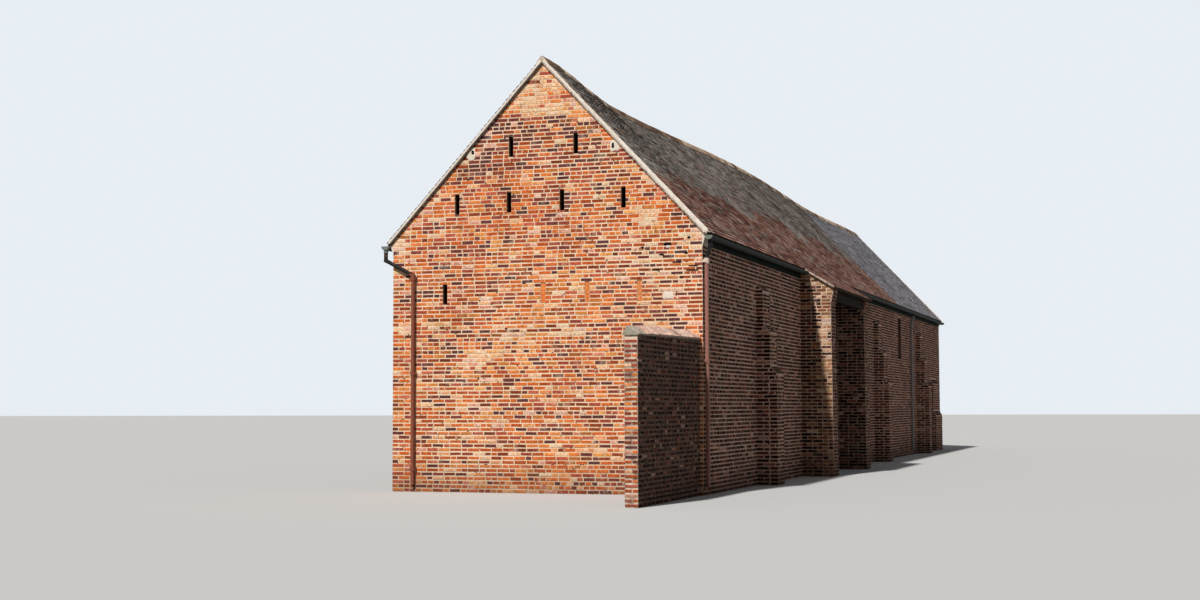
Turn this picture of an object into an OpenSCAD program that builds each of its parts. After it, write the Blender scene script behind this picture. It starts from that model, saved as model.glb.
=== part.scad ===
/* [Barn] */
// Width of the barn across the gable
barn_w = 6100; // [4500:50:9000]
// Length of the barn from gable to gable
barn_l = 34000; // [30000:100:39000]
// Thickness of the brick walls, one brick and a half
wall_t = 345; // [230:5:460]
// Height of the side walls up to the wall plate
wall_h = 4560; // [4400:10:5200]
// Thickness of the brick floor inside
floor_t = 60; // [30:5:150]

/* [Roof] */
// Height of the tiles at the ridge, at the gables
ridge_h = 8095; // [7600:10:9000]
// How far the tiles stand out past the side walls
eaves_out = 100; // [60:5:200]
// Height of the tops of the tiles above the wall plate, at the eaves
eaves_up = 175; // [120:5:250]
// Thickness of the tiles with their battens
tile_t = 42; // [35:1:80]
// How far the tiles stand out past the gables
verge_out = 50; // [30:5:100]
// How far the ridge has sunk behind the front gable
ridge_sag = 245; // [0:5:300]
// Distance from the front gable to the lowest place of the ridge
sag_y = 4100; // [2500:100:6000]
// Length over which the ridge rises again behind that place
sag_l = 12000; // [9000:100:14000]
// How far the ridge has sunk again towards the rear gable
rear_sag = 125; // [0:5:250]
// Distance from the front gable to that second low place
rear_sag_y = 25000; // [23000:100:27000]
// Length over which the ridge sinks to it
rear_sag_l = 8000; // [5000:100:9000]
// Half the width of the ridge tiles
ridge_tile_w = 125; // [90:5:160]
// Height of the ridge tiles above the slopes
ridge_tile_h = 35; // [20:5:90]
// Shape of a ridge tile, from 1 for a sharp back to 2 for a round one
ridge_round = 1.3; // [1:0.1:2]
// Thickness of the mortar bed at the edges of the ridge tiles
ridge_tile_edge = 18; // [10:1:30]
// Depth of the mortared undercloak below the verge
verge_h = 30; // [20:5:90]
// Height of a kneeler
kneeler_h = 260; // [150:5:300]
// Height of the outer face of a kneeler, above its sloping underside
kneeler_edge = 80; // [40:5:120]

/* [Cart porch] */
// Distance from the front of the barn to the cart doorway
door_y = 9300; // [8700:50:9800]
// Width of the cart doorway
door_w = 3900; // [3400:50:4200]
// Height of the cart doorway
door_h = 3930; // [3500:10:3950]
// Thickness of the brick cheeks on both sides of the doorway
cheek_t = 600; // [345:5:700]
// How far the cheeks stand out from the wall
cheek_out = 690; // [500:5:900]
// How far the porch tiles stand out past the cheeks
porch_eaves_out = 100; // [40:5:200]
// How far the porch roof drops from the main eaves to its own
porch_drop = 430; // [300:5:600]
// How much wider a cheek is at its foot than at its top
cheek_batter = 30; // [0:5:80]
// Number of corbelled courses at the head of a cheek
corbel_n = 3; // [1:1:5]
// How far each of them stands out past the one below
corbel_out = 18; // [5:1:30]
// Height of a brick course
course_h = 75; // [65:1:80]
// Height of the timber beam over the porch mouth
beam_h = 290; // [200:5:320]
// Thickness of the timber beam over the porch mouth
beam_t = 150; // [100:5:200]
// How far the beam lies behind the faces of the cheeks
beam_set = 10; // [0:5:60]
// Height of the timber lintel over the doorway
lintel_h = 250; // [150:5:300]
// How far beams and lintels run into the brickwork
bearing = 230; // [100:5:300]

/* [Cart doors] */
// Thickness of the boards of a door leaf
leaf_t = 45; // [30:1:60]
// Width of the frame posts and of the head
post_w = 110; // [80:5:160]
// Depth of the frame posts
post_d = 120; // [90:5:160]
// Gap between a leaf and what is beside it
leaf_gap = 4; // [2:1:10]
// Gap between a leaf and the floor
foot_gap = 30; // [10:5:80]
// Width of the ledges on the back of a leaf
ledge_w = 140; // [100:5:200]
// Thickness of the ledges
ledge_t = 35; // [20:1:50]
// How far a ledge stops short of the edges of its leaf
ledge_in = 40; // [10:5:80]
// Heights of the ledges, as shares of the height of a leaf
ledge_levels = [0.08, 0.48, 0.88];
// Length of the strap hinges
strap_l = 700; // [400:10:1200]
// Width of the strap hinges
strap_w = 60; // [40:5:100]
// Thickness of the strap hinges
strap_t = 8; // [5:1:12]
// Length of a strap hinge that lies on its post
strap_lap = 75; // [40:5:80]

/* [Buttresses] */
// Distance of each side buttress from the front of the barn
buttress_y = [4240, 19000, 27800];
// Width of a side buttress along the wall
buttress_w = 600; // [460:10:800]
// How far the three stages stand out, from the foot up
buttress_out = [420, 280, 140];
// Height at which each stage ends, from the foot up
buttress_h = [2250, 3100, 3940];
// Height of the sloped weathering over each stage
weathering_h = 150; // [80:5:250]
// Distance of the low end buttress from the front of the barn
end_buttress_y = 31300; // [30000:50:32000]
// Width of the low end buttress
end_buttress_w = 1700; // [900:50:2000]
// How far its two stages stand out, from the foot up
end_buttress_out = [200, 110];
// Height at which its two stages end, from the foot up
end_buttress_h = [1250, 2380];

/* [Vents] */
// Width of a vent slit at the face of the wall
slit_w = 95; // [60:5:120]
// Height of a vent slit
slit_h = 385; // [250:5:500]
// Width of a vent slit inside, where it splays
slit_splay = 300; // [150:10:400]
// Depth of the straight part of a slit before the splay
slit_straight = 115; // [60:5:200]
// Distances of the upper slits from the middle of the gable
slit_up_x = [-640, 645];
// Height of the middle of the upper slits
slit_up_z = 6462; // [6000:10:6700]
// Distances of the middle slits from the middle of the gable
slit_mid_x = [-1732, -680, 371, 1566];
// Height of the middle of the middle slits
slit_mid_z = 5417; // [5300:10:5700]
// Distance of the low slit from the middle of the gable
slit_low_x = -1978; // [-2300:10:-1500]
// Height of the middle of the low slit
slit_low_z = 3715; // [3400:10:3900]
// Distances of the blocked slits from the middle of the gable
blocked_x = [0, 863, 1870];
// Height of the middle of the blocked slits
blocked_z = 3700; // [3400:10:3900]
// Depth of the recess at a blocked slit
blocked_d = 30; // [20:5:100]

/* [Loft hatch] */
// Distance of the hatch from the front of the barn
hatch_y = 23750; // [21000:50:26000]
// Width of the hatch
hatch_w = 650; // [400:10:900]
// Height of the sill of the hatch
hatch_z = 3060; // [2500:10:3300]
// Height of the hatch opening
hatch_h = 1300; // [900:10:1350]
// Depth of the shutter behind the face of the wall
hatch_reveal = 100; // [40:5:150]
// Thickness of the shutter
shutter_t = 40; // [25:1:60]
// Width of the frame round the shutter
hatch_frame_w = 70; // [40:5:100]
// Depth of that frame
hatch_frame_d = 90; // [70:5:120]

/* [Timbers] */
// Width of the wall plates
plate_w = 120; // [80:5:160]
// Height of the wall plates
plate_h = 100; // [60:5:140]
// Distance of the purlins from the middle of the barn
purlin_x = 1500; // [1000:10:2000]
// Width of a purlin
purlin_w = 150; // [100:5:200]
// Depth of a purlin
purlin_h = 190; // [120:5:250]
// Distance of each roof truss from the front of the barn
truss_y = [4540, 9000, 13500, 19300, 24500, 29000];
// Thickness of the timbers of a truss
truss_t = 160; // [100:5:220]
// Height of a tie beam
tie_h = 200; // [150:5:260]
// Depth of a principal rafter
principal_h = 230; // [150:5:300]
// Height of a collar above the tie beam
collar_up = 1350; // [900:10:1700]
// Depth of a collar
collar_h = 160; // [100:5:220]

/* [Rainwater pipes] */
// Outer radius of a half-round gutter
gutter_r = 75; // [60:1:80]
// How far the middle of a gutter lies past the edge of the tiles
gutter_past = 30; // [25:1:60]
// Gap between the tiles and the top of a gutter
gutter_drop = 12; // [5:1:30]
// Thickness of the gutter and pipe iron
iron_t = 5; // [4:1:8]
// Distance between gutter brackets
bracket_step = 1400; // [900:50:2000]
// Width of a bracket
bracket_w = 30; // [20:5:50]
// Thickness of a bracket
bracket_t = 16; // [10:1:25]
// Distance from the end of a wall to its first bracket
bracket_end = 100; // [60:10:200]
// Length of the outlet below a gutter
outlet_l = 50; // [30:5:80]
// How far a gutter runs on past an outlet at its end
outlet_end = 12; // [5:1:30]
// Outer radius of a downpipe
pipe_r = 38; // [30:1:50]
// Gap between a downpipe and the wall
pipe_gap = 25; // [15:1:60]
// Distance between the sockets of a downpipe
socket_step = 1800; // [1200:50:2400]
// Height of a socket
socket_h = 90; // [60:5:120]
// Thickness of the rim of a socket
socket_t = 8; // [5:1:12]
// Width of the ears that hold a socket to the wall
ear_w = 120; // [100:5:160]
// Height of the ears
ear_h = 50; // [30:5:60]
// Distance from a bend down to the first socket
socket_drop = 100; // [60:10:200]
// Length of pipe between a gutter and the first bend of a swan neck
neck_l = 110; // [80:5:160]
// Height over which a swan neck runs back to the wall
neck_fall = 220; // [150:10:300]
// Length of pipe between the gutter and the first bend of the gable pipe
gable_neck_l = 200; // [120:10:260]
// Height over which the gable pipe runs across to its place
gable_neck_fall = 300; // [200:10:500]
// Height of a downpipe mouth above the ground
pipe_foot = 150; // [60:10:300]
// Distance of the near downpipe from the front of the barn
near_pipe_y = 68; // [65:1:160]
// Distance of the far downpipe from the front of the barn
far_pipe_y = 26300; // [25500:50:27000]
// Distance of the gable pipe from the middle of the gable
gable_pipe_x = 2610; // [2300:10:2800]

/* [Garden wall stub] */
// Length of the stub in front of the gable
stub_l = 3760; // [1500:20:5000]
// Thickness of the stub, one brick
stub_t = 215; // [200:5:350]
// How far the face of the stub lies behind the face of the side wall
stub_in = 65; // [0:5:150]
// Height of the brickwork of the stub at its free end
stub_h = 2725; // [1800:5:3000]
// How much higher the stub is where it meets the gable
stub_rise = 65; // [0:5:200]
// Height of the coping
coping_h = 155; // [80:5:300]
// Thickness of the coping at its edges
coping_edge = 22; // [10:1:50]
// How far the coping stands out past the stub
coping_out = 25; // [10:5:80]
// Distance of the back of the coping from its edge on the yard side
coping_back = 75; // [40:5:130]

/* [Hidden] */

// Shared heights, distances and colours
half_w = barn_w / 2;
inner_x = half_w - wall_t;
inner_l = barn_l - 2 * wall_t;
eaves_x = half_w + eaves_out;
eaves_z = wall_h + eaves_up;
rise = ridge_h - eaves_z;
pitch = atan(rise / eaves_x);
tile_v = tile_t / cos(pitch);
seat = 0.3;
porch_x = half_w + cheek_out + porch_eaves_out;
porch_fall = porch_drop / (porch_x - eaves_x);
porch_end_y = door_y + door_w + cheek_t;
porch_start_y = door_y - cheek_t;
filling_t = wall_t / 3;
gutter_x = eaves_x + gutter_past;
gutter_z = eaves_z - tile_v - gutter_drop;
gutter_clear = 3;
verge_foot_x = gutter_x - gutter_r - gutter_clear;
station_n = 18;
brick_red = [0.55, 0.25, 0.17];
oak_brown = [0.30, 0.22, 0.16];
clay_brown = [0.36, 0.24, 0.19];
lime_cream = [0.78, 0.70, 0.58];
iron_black = [0.10, 0.10, 0.10];

// Places along the barn where the roof changes its slope, closer together near the front
stations = concat(
  [-verge_out],
  [for (i = [0:station_n]) wall_t + inner_l * pow(i / station_n, 1.5)],
  [barn_l + verge_out]
);

// One wave of the ridge: its depth, its lowest place, and its length before and after that
function dip(y, depth, lowest, before, after) =
  let (u = (y - lowest) / (y < lowest ? before : after))
  abs(u) >= 1 ? 0 : depth * (1 + cos(180 * u)) / 2;

// How far the ridge has sunk at one place: none at the gables
function sunk(y) =
  dip(y, ridge_sag, sag_y, sag_y - wall_t, sag_l)
  + dip(y, rear_sag, rear_sag_y, rear_sag_l, barn_l - wall_t - rear_sag_y);

ridge_line = [for (y = stations) [y, ridge_h - sunk(y)]];
ridge_low = min([for (p = ridge_line) p[1]]);

// Height of the tops of the tiles, x from the middle and y from the front
function tile_z(x, y) =
  let (top = lookup(y, ridge_line))
  top - abs(x) * (top - eaves_z) / eaves_x;

// Height of the undersides of the tiles
function under_z(x, y) = tile_z(x, y) - tile_v;

// Lowest underside of the tiles anywhere along the barn
function low_under_z(x) = ridge_low - abs(x) * (ridge_low - eaves_z) / eaves_x - tile_v;

// Height of the tops of the porch tiles
function porch_z(x) = eaves_z - (x - eaves_x) * porch_fall;
function porch_under_z(x) = porch_z(x) - tile_v;

// Everything is drawn from the front of the barn, and the origin is in the middle of its plan
module placed() {
  translate([0, -barn_l / 2, 0])
    children();
}

// The yard side repeats the road side
module road_side() {
  placed()
    children();
}

module yard_side() {
  placed()
    mirror([1, 0, 0])
      children();
}

// An outline across the barn, drawn in x and z, carried along y
module along(y, length) {
  translate([0, y + length, 0])
    rotate([90, 0, 0])
      linear_extrude(length)
        children();
}

// A skin over rings of points that lie at rising y. Each end is closed by strips between
// opposite points of its ring, counted from the first edge.
module loft(rings, turned = false) {
  n = len(rings[0]);
  m = len(rings);
  sides = [for (i = [0:m - 2], j = [0:n - 1])
    let (a = i * n + j, b = i * n + (j + 1) % n)
    each [[a, b, b + n], [a, b + n, a + n]]];
  start = [for (j = [0:ceil(n / 2) - 2])
    (j + 1 == n - 2 - j) ? [n - 1 - j, j + 1, j] : [n - 1 - j, n - 2 - j, j + 1, j]];
  end = [for (f = start) [for (k = [len(f) - 1:-1:0]) f[k] + (m - 1) * n]];
  faces = concat(sides, start, end);
  polyhedron(
    points = [for (ring = rings) each ring],
    faces = turned ? [for (f = faces) [for (k = [len(f) - 1:-1:0]) f[k]]] : faces,
    convexity = 6
  );
}

// A vent slit seen from above: straight at the face, then splayed
module slit(x, z) {
  translate([x, 0, z - slit_h / 2])
    linear_extrude(slit_h)
      polygon([
        [-slit_w / 2, -1],
        [slit_w / 2, -1],
        [slit_w / 2, slit_straight],
        [slit_splay / 2, wall_t + 1],
        [-slit_splay / 2, wall_t + 1],
        [-slit_w / 2, slit_straight]
      ]);
}

// A gable wall with its slits, outer face at y = 0
module gable_wall() {
  difference() {
    along(0, wall_t)
      polygon([
        [-half_w, 0],
        [half_w, 0],
        [half_w, under_z(half_w, 0)],
        [0, under_z(0, 0)],
        [-half_w, under_z(half_w, 0)]
      ]);
    for (x = slit_up_x)
      slit(x, slit_up_z);
    for (x = slit_mid_x)
      slit(x, slit_mid_z);
    slit(slit_low_x, slit_low_z);
    for (x = blocked_x)
      translate([x - slit_w / 2, -1, blocked_z - slit_h / 2])
        cube([slit_w, blocked_d + 1, slit_h]);
  }
}

module front_gable() {
  color(brick_red)
    placed()
      gable_wall();
}

module rear_gable() {
  color(brick_red)
    placed()
      translate([0, barn_l, 0])
        rotate([0, 0, 180])
          gable_wall();
}

module floor() {
  color([0.45, 0.36, 0.30])
    placed()
      translate([-inner_x, wall_t, 0])
        cube([2 * inner_x, inner_l, floor_t]);
}

// Section of a side wall: flat for the plate, with the beam filling up to the tiles outside it
module side_wall_section(from_z) {
  filling_x = half_w - filling_t;
  polygon([
    [inner_x, from_z],
    [half_w, from_z],
    [half_w, low_under_z(half_w)],
    [filling_x, low_under_z(filling_x)],
    [filling_x, wall_h],
    [inner_x, wall_h]
  ]);
}

// The room that the lintel takes in the walls beside the doorway
module lintel_block(clear) {
  translate([inner_x - clear, door_y - bearing - clear, door_h])
    cube([wall_t + 2 * clear, door_w + 2 * (bearing + clear), lintel_h]);
}

module hatch_hole() {
  translate([inner_x - 1, hatch_y, hatch_z])
    cube([wall_t + 2, hatch_w, hatch_h]);
}

module side_wall_near() {
  color(brick_red)
    difference() {
      along(wall_t, door_y - wall_t)
        side_wall_section(0);
      lintel_block(seat);
    }
}

module side_wall_far() {
  start = door_y + door_w;
  color(brick_red)
    difference() {
      along(start, barn_l - wall_t - start)
        side_wall_section(0);
      lintel_block(seat);
      hatch_hole();
    }
}

module side_wall_head() {
  color(brick_red)
    along(door_y, door_w)
      side_wall_section(door_h + lintel_h);
}

module lintel() {
  color(oak_brown)
    lintel_block(0);
}

module road_wall_near() { road_side() side_wall_near(); }
module road_wall_far() { road_side() side_wall_far(); }
module road_wall_head() { road_side() side_wall_head(); }
module road_lintel() { road_side() lintel(); }
module yard_wall_near() { yard_side() side_wall_near(); }
module yard_wall_far() { yard_side() side_wall_far(); }
module yard_wall_head() { yard_side() side_wall_head(); }
module yard_lintel() { yard_side() lintel(); }

// The beam that carries the porch tiles at the mouth of the porch
module porch_beam_block(clear) {
  outer = half_w + cheek_out - beam_set;
  foot_z = porch_under_z(outer) - beam_h;
  along(door_y - bearing - clear, door_w + 2 * (bearing + clear))
    polygon([
      [outer - beam_t - clear, foot_z],
      [outer + clear, foot_z],
      [outer + clear, porch_under_z(outer + clear)],
      [outer - beam_t - clear, porch_under_z(outer - beam_t - clear)]
    ]);
}

// One cheek of the porch, corbelled out under the tiles course by course
module porch_cheek(y) {
  outer = half_w + cheek_out;
  head = outer + corbel_n * corbel_out;
  top = porch_under_z(outer);
  difference() {
    along(y, cheek_t)
      polygon(concat(
        [
          [half_w, 0],
          [outer + cheek_batter, 0]
        ],
        [for (i = [0:corbel_n - 1], k = [0, 1])
          [outer + corbel_out * (i + k), top - (corbel_n - i + 1) * course_h]],
        [
          [head, porch_under_z(head)],
          [eaves_x, porch_under_z(eaves_x)],
          [eaves_x, low_under_z(eaves_x)],
          [half_w, low_under_z(half_w)]
        ]
      ));
    porch_beam_block(seat);
  }
}

module porch_cheeks() {
  color(brick_red) {
    porch_cheek(porch_start_y);
    porch_cheek(door_y + door_w);
  }
}

module porch_beam() {
  color(oak_brown)
    porch_beam_block(0);
}

module porch_roof() {
  color(clay_brown)
    along(porch_start_y - verge_out, porch_end_y - porch_start_y + 2 * verge_out)
      polygon([
        [eaves_x, eaves_z - tile_v],
        [porch_x, porch_under_z(porch_x)],
        [porch_x, porch_z(porch_x)],
        [eaves_x, eaves_z]
      ]);
}

module road_porch_cheeks() { road_side() porch_cheeks(); }
module road_porch_beam() { road_side() porch_beam(); }
module road_porch_roof() { road_side() porch_roof(); }
module yard_porch_cheeks() { yard_side() porch_cheeks(); }
module yard_porch_beam() { yard_side() porch_beam(); }
module yard_porch_roof() { yard_side() porch_roof(); }

// A buttress whose stages step back under sloped weatherings
module buttress(y, width, outs, heights) {
  last = len(outs) - 1;
  along(y, width)
    polygon(concat(
      [[half_w, 0]],
      [for (i = [0:last], k = [0, 1])
        [half_w + outs[i], k == 1 ? heights[i] : (i == 0 ? 0 : heights[i - 1] + weathering_h)]],
      [[half_w, heights[last] + weathering_h]]
    ));
}

module buttresses() {
  color(brick_red) {
    for (y = buttress_y)
      buttress(y, buttress_w, buttress_out, buttress_h);
    buttress(end_buttress_y, end_buttress_w, end_buttress_out, end_buttress_h);
  }
}

module road_buttresses() { road_side() buttresses(); }
module yard_buttresses() { yard_side() buttresses(); }

// One slope of tiles, cut plumb at the ridge and the eaves
module roof_slope() {
  xs = [0, ridge_tile_w, purlin_x - purlin_w / 2, purlin_x + purlin_w / 2, eaves_x];
  color(clay_brown)
    loft([for (y = stations) concat(
      [for (x = xs) [x, y, tile_z(x, y)]],
      [for (k = [len(xs) - 1:-1:0]) [xs[k], y, under_z(xs[k], y)]]
    )]);
}

module road_roof_slope() { road_side() roof_slope(); }
module yard_roof_slope() { yard_side() roof_slope(); }

// Ridge tiles bedded on both slopes
module ridge_tiles() {
  steps = 8;
  w = ridge_tile_w;
  xs = [for (i = [0:steps]) -w * cos(180 * i / steps)];
  crown = ridge_tile_h + w * tan(pitch) - ridge_tile_edge;
  color(lime_cream)
    placed()
      loft([for (y = stations) concat(
        [for (x = xs) [x, y, tile_z(w, y) + ridge_tile_edge + crown * (1 - pow(abs(x) / w, ridge_round))]],
        [for (i = [steps:-1:0]) [xs[i], y, tile_z(xs[i], y)]]
      )]);
}

// The mortared undercloak that closes the tiles over a gable
module verge_strip() {
  x = verge_foot_x;
  along(-verge_out, verge_out)
    polygon([
      [-x, under_z(x, 0)],
      [-x, under_z(x, 0) - verge_h],
      [0, under_z(0, 0) - verge_h],
      [x, under_z(x, 0) - verge_h],
      [x, under_z(x, 0)],
      [0, under_z(0, 0)]
    ]);
}

module front_verge() {
  color(lime_cream)
    placed()
      verge_strip();
}

module rear_verge() {
  color(lime_cream)
    placed()
      translate([0, barn_l, 0])
        rotate([0, 0, 180])
          verge_strip();
}

// The rendered corbel that carries the foot of a verge, sloping back to the wall below
module kneeler() {
  top = low_under_z(verge_foot_x);
  along(0, wall_t)
    polygon([
      [half_w, top - kneeler_h],
      [verge_foot_x, top - kneeler_edge],
      [verge_foot_x, top],
      [half_w, top]
    ]);
}

module kneelers() {
  color(lime_cream)
    placed()
      for (side = [0, 1], back = [0, 1])
        translate([0, back * (barn_l - wall_t), 0])
          mirror([side, 0, 0])
            kneeler();
}

module wall_plates() {
  color(oak_brown)
    placed()
      for (side = [0, 1])
        mirror([side, 0, 0])
          translate([inner_x, wall_t, wall_h])
            cube([plate_w, inner_l, plate_h]);
}

// A purlin lies square under the tiles and follows the sunken slope
module purlins() {
  inner_stations = [for (y = stations) if (y >= wall_t && y <= barn_l - wall_t) y];
  x0 = purlin_x - purlin_w / 2;
  x1 = purlin_x + purlin_w / 2;
  color(oak_brown)
    placed()
      for (side = [0, 1])
        mirror([side, 0, 0])
          loft([for (y = inner_stations) [
            [x1, y, under_z(x1, y)],
            [x0, y, under_z(x0, y)],
            [x0, y, under_z(x0, y) - purlin_h],
            [x1, y, under_z(x1, y) - purlin_h]
          ]], turned = true);
}

// Places and slope of one truss: it follows the sunken ridge
function truss_top(y) = min(lookup(y, ridge_line), lookup(y + truss_t, ridge_line));
function truss_fall(y) = (truss_top(y) - eaves_z) / eaves_x;
function truss_back(y, x) = truss_top(y) - tile_v - purlin_h - seat - abs(x) * truss_fall(y);

tie_z = wall_h + plate_h;
tie_top = tie_z + tie_h;
tie_x = inner_x + plate_w;
apex_gap = 0.5;

module tie_beams() {
  color(oak_brown)
    placed()
      for (y = truss_y)
        along(y, truss_t)
          translate([-tie_x, tie_z])
            square([2 * tie_x, tie_h]);
}

// A principal rafter stands on the tie beam, carries a purlin and leans on its fellow
module principal_rafters() {
  color(oak_brown)
    placed()
      for (y = truss_y, side = [0, 1])
        mirror([side, 0, 0])
          along(y, truss_t)
            intersection() {
              polygon([
                [apex_gap, truss_back(y, apex_gap)],
                [half_w, truss_back(y, half_w)],
                [half_w, truss_back(y, half_w) - principal_h],
                [apex_gap, truss_back(y, apex_gap) - principal_h]
              ]);
              translate([0, tie_top])
                square([tie_x, ridge_h]);
            }
}

// A collar is let in between the two principal rafters
module collars() {
  color(oak_brown)
    placed()
      for (y = truss_y)
        along(y, truss_t) {
          foot = tie_top + collar_up;
          head = foot + collar_h;
          base = truss_back(y, 0) - principal_h;
          polygon([
            [-(base - foot) / truss_fall(y), foot],
            [(base - foot) / truss_fall(y), foot],
            [(base - head) / truss_fall(y), head],
            [-(base - head) / truss_fall(y), head]
          ]);
        }
}

// Two posts and a head, flush with the inside of the wall
module door_frame() {
  color(oak_brown)
    difference() {
      translate([inner_x, door_y, 0])
        cube([post_d, door_w, door_h]);
      translate([inner_x - 1, door_y + post_w, -1])
        cube([post_d + 2, door_w - 2 * post_w, door_h - post_w + 1]);
    }
}

// One boarded leaf with three ledges behind and two strap hinges in front
module door_leaf() {
  width = door_w / 2 - post_w - 1.5 * leaf_gap;
  height = door_h - post_w - leaf_gap - foot_gap;
  front_x = inner_x + post_d;
  y0 = door_y + post_w + leaf_gap;
  translate([front_x - leaf_t, y0, foot_gap])
    cube([leaf_t, width, height]);
  for (level = ledge_levels)
    translate([front_x - leaf_t - ledge_t, y0 + ledge_in, foot_gap + level * height])
      cube([ledge_t, width - 2 * ledge_in, ledge_w]);
  for (level = [ledge_levels[0], ledge_levels[len(ledge_levels) - 1]])
    translate([
      front_x,
      door_y + post_w - strap_lap,
      foot_gap + level * height + (ledge_w - strap_w) / 2
    ])
      cube([strap_t, strap_l, strap_w]);
}

module cart_doors() {
  middle = door_y + door_w / 2;
  color(oak_brown) {
    door_leaf();
    translate([0, 2 * middle, 0])
      mirror([0, 1, 0])
        door_leaf();
  }
}

module road_door_frame() { road_side() door_frame(); }
module road_cart_doors() { road_side() cart_doors(); }
module yard_door_frame() { yard_side() door_frame(); }
module yard_cart_doors() { yard_side() cart_doors(); }

module hatch_frame() {
  back_x = half_w - hatch_reveal - hatch_frame_d;
  color(oak_brown)
    difference() {
      translate([back_x, hatch_y, hatch_z])
        cube([hatch_frame_d, hatch_w, hatch_h]);
      translate([back_x - 1, hatch_y + hatch_frame_w, hatch_z + hatch_frame_w])
        cube([hatch_frame_d + 2, hatch_w - 2 * hatch_frame_w, hatch_h - 2 * hatch_frame_w]);
    }
}

module hatch_shutter() {
  color([0.33, 0.12, 0.10])
    translate([half_w - hatch_reveal - shutter_t, hatch_y + hatch_frame_w, hatch_z + hatch_frame_w])
      cube([shutter_t, hatch_w - 2 * hatch_frame_w, hatch_h - 2 * hatch_frame_w]);
}

module road_hatch_frame() { road_side() hatch_frame(); }
module road_hatch_shutter() { road_side() hatch_shutter(); }
module yard_hatch_frame() { yard_side() hatch_frame(); }
module yard_hatch_shutter() { yard_side() hatch_shutter(); }

// Shared places of the gutters and pipes
knuckle = 5;
lap = 4;
sleeve_r = pipe_r + seat + iron_t;
sleeve_top = gutter_z - sqrt(pow(gutter_r, 2) - pow(sleeve_r, 2));
outlet_z = gutter_z - gutter_r - outlet_l;
socket_grip = 2;
pipe_top = gutter_z - gutter_r + iron_t + 1;
wall_pipe_x = half_w + pipe_r + pipe_gap;
gable_pipe_y = -pipe_r - pipe_gap;

module gutter_half(r) {
  intersection() {
    circle(r, $fn = 48);
    translate([-r, -r])
      square([2 * r, r]);
  }
}

// A half-round gutter with closed ends, brackets that reach the wall, and outlets for the pipes
module gutter(from_y, to_y, outlets) {
  first = max(from_y, wall_t) + bracket_end;
  last = min(to_y, barn_l - wall_t) - bracket_end;
  count = round((last - first) / bracket_step);
  bracket_z = gutter_z - gutter_r - bracket_t + lap;
  difference() {
    union() {
      translate([gutter_x, 0, gutter_z])
        along(from_y, to_y - from_y)
          gutter_half(gutter_r);
      for (i = [0:count])
        translate([half_w, first + i * (last - first) / count - bracket_w / 2, bracket_z])
          cube([gutter_x - half_w, bracket_w, bracket_t]);
      for (y = outlets)
        translate([gutter_x, y, outlet_z])
          cylinder(h = sleeve_top - outlet_z, r = sleeve_r, $fn = 48);
    }
    translate([gutter_x, 0, gutter_z])
      along(from_y + iron_t, to_y - from_y - 2 * iron_t)
        circle(gutter_r - iron_t, $fn = 48);
    for (y = outlets)
      translate([gutter_x, y, outlet_z - 1])
        cylinder(h = gutter_z - outlet_z + 1, r = pipe_r + seat, $fn = 48);
  }
}

module gutters(front_y, front_outlets) {
  color(iron_black) {
    gutter(front_y, porch_start_y - verge_out - seat, front_outlets);
    gutter(porch_end_y + verge_out + seat, barn_l + verge_out, [far_pipe_y]);
  }
}

module road_gutters() { road_side() gutters(-verge_out, [near_pipe_y]); }
module yard_gutters() { yard_side() gutters(gable_pipe_y - sleeve_r - outlet_end, [gable_pipe_y]); }

// A straight length of pipe between two points
module pipe_length(a, b, r) {
  d = b - a;
  h = norm(d);
  translate(a)
    rotate([0, acos(d[2] / h), atan2(d[1], d[0])])
      cylinder(h = h, r = r, $fn = 32);
}

// A pipe through a list of points, with a cast knuckle at each bend and open at its foot
module pipe_run(points) {
  last = len(points) - 1;
  difference() {
    union() {
      for (i = [0:last - 1])
        pipe_length(points[i], points[i + 1], pipe_r);
      for (i = [1:last - 1])
        translate(points[i])
          sphere(pipe_r + knuckle, $fn = 32);
    }
    translate(points[last] - [0, 0, 1])
      cylinder(h = norm(points[last - 1] - points[last]), r = pipe_r - iron_t, $fn = 32);
  }
}

// A collar with ears that reach the wall at its back
module pipe_socket(wall_side) {
  difference() {
    union() {
      cylinder(h = socket_h, r = pipe_r + socket_t, $fn = 32);
      rotate([0, 0, wall_side])
        translate([0, -ear_w / 2, (socket_h - ear_h) / 2])
          cube([pipe_r + pipe_gap, ear_w, ear_h]);
    }
    translate([0, 0, -1])
      cylinder(h = socket_h + 2, r = pipe_r - socket_grip, $fn = 32);
  }
}

module sockets(x, y, top, wall_side) {
  for (z = [top:-socket_step:pipe_foot + socket_h])
    translate([x, y, z])
      pipe_socket(wall_side);
}

// A downpipe on a side wall at y, fed by a swan neck from the gutter
module side_downpipe(y) {
  color(iron_black) {
    pipe_run([
      [gutter_x, y, pipe_top],
      [gutter_x, y, pipe_top - neck_l],
      [wall_pipe_x, y, pipe_top - neck_l - neck_fall],
      [wall_pipe_x, y, pipe_foot]
    ]);
    sockets(wall_pipe_x, y, pipe_top - neck_l - neck_fall - socket_drop, 180);
  }
}

module road_downpipes() {
  road_side() {
    side_downpipe(near_pipe_y);
    side_downpipe(far_pipe_y);
  }
}

module yard_downpipe() {
  yard_side()
    side_downpipe(far_pipe_y);
}

// The pipe that leaves the end of the yard gutter and runs down the gable
module gable_downpipe() {
  bend_z = pipe_top - gable_neck_l - gable_neck_fall;
  color([0.42, 0.20, 0.15])
    placed() {
      pipe_run([
        [-gutter_x, gable_pipe_y, pipe_top],
        [-gutter_x, gable_pipe_y, pipe_top - gable_neck_l],
        [-gable_pipe_x, gable_pipe_y, bend_z],
        [-gable_pipe_x, gable_pipe_y, pipe_foot]
      ]);
      sockets(-gable_pipe_x, gable_pipe_y, bend_z - socket_drop, 90);
    }
}

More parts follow.
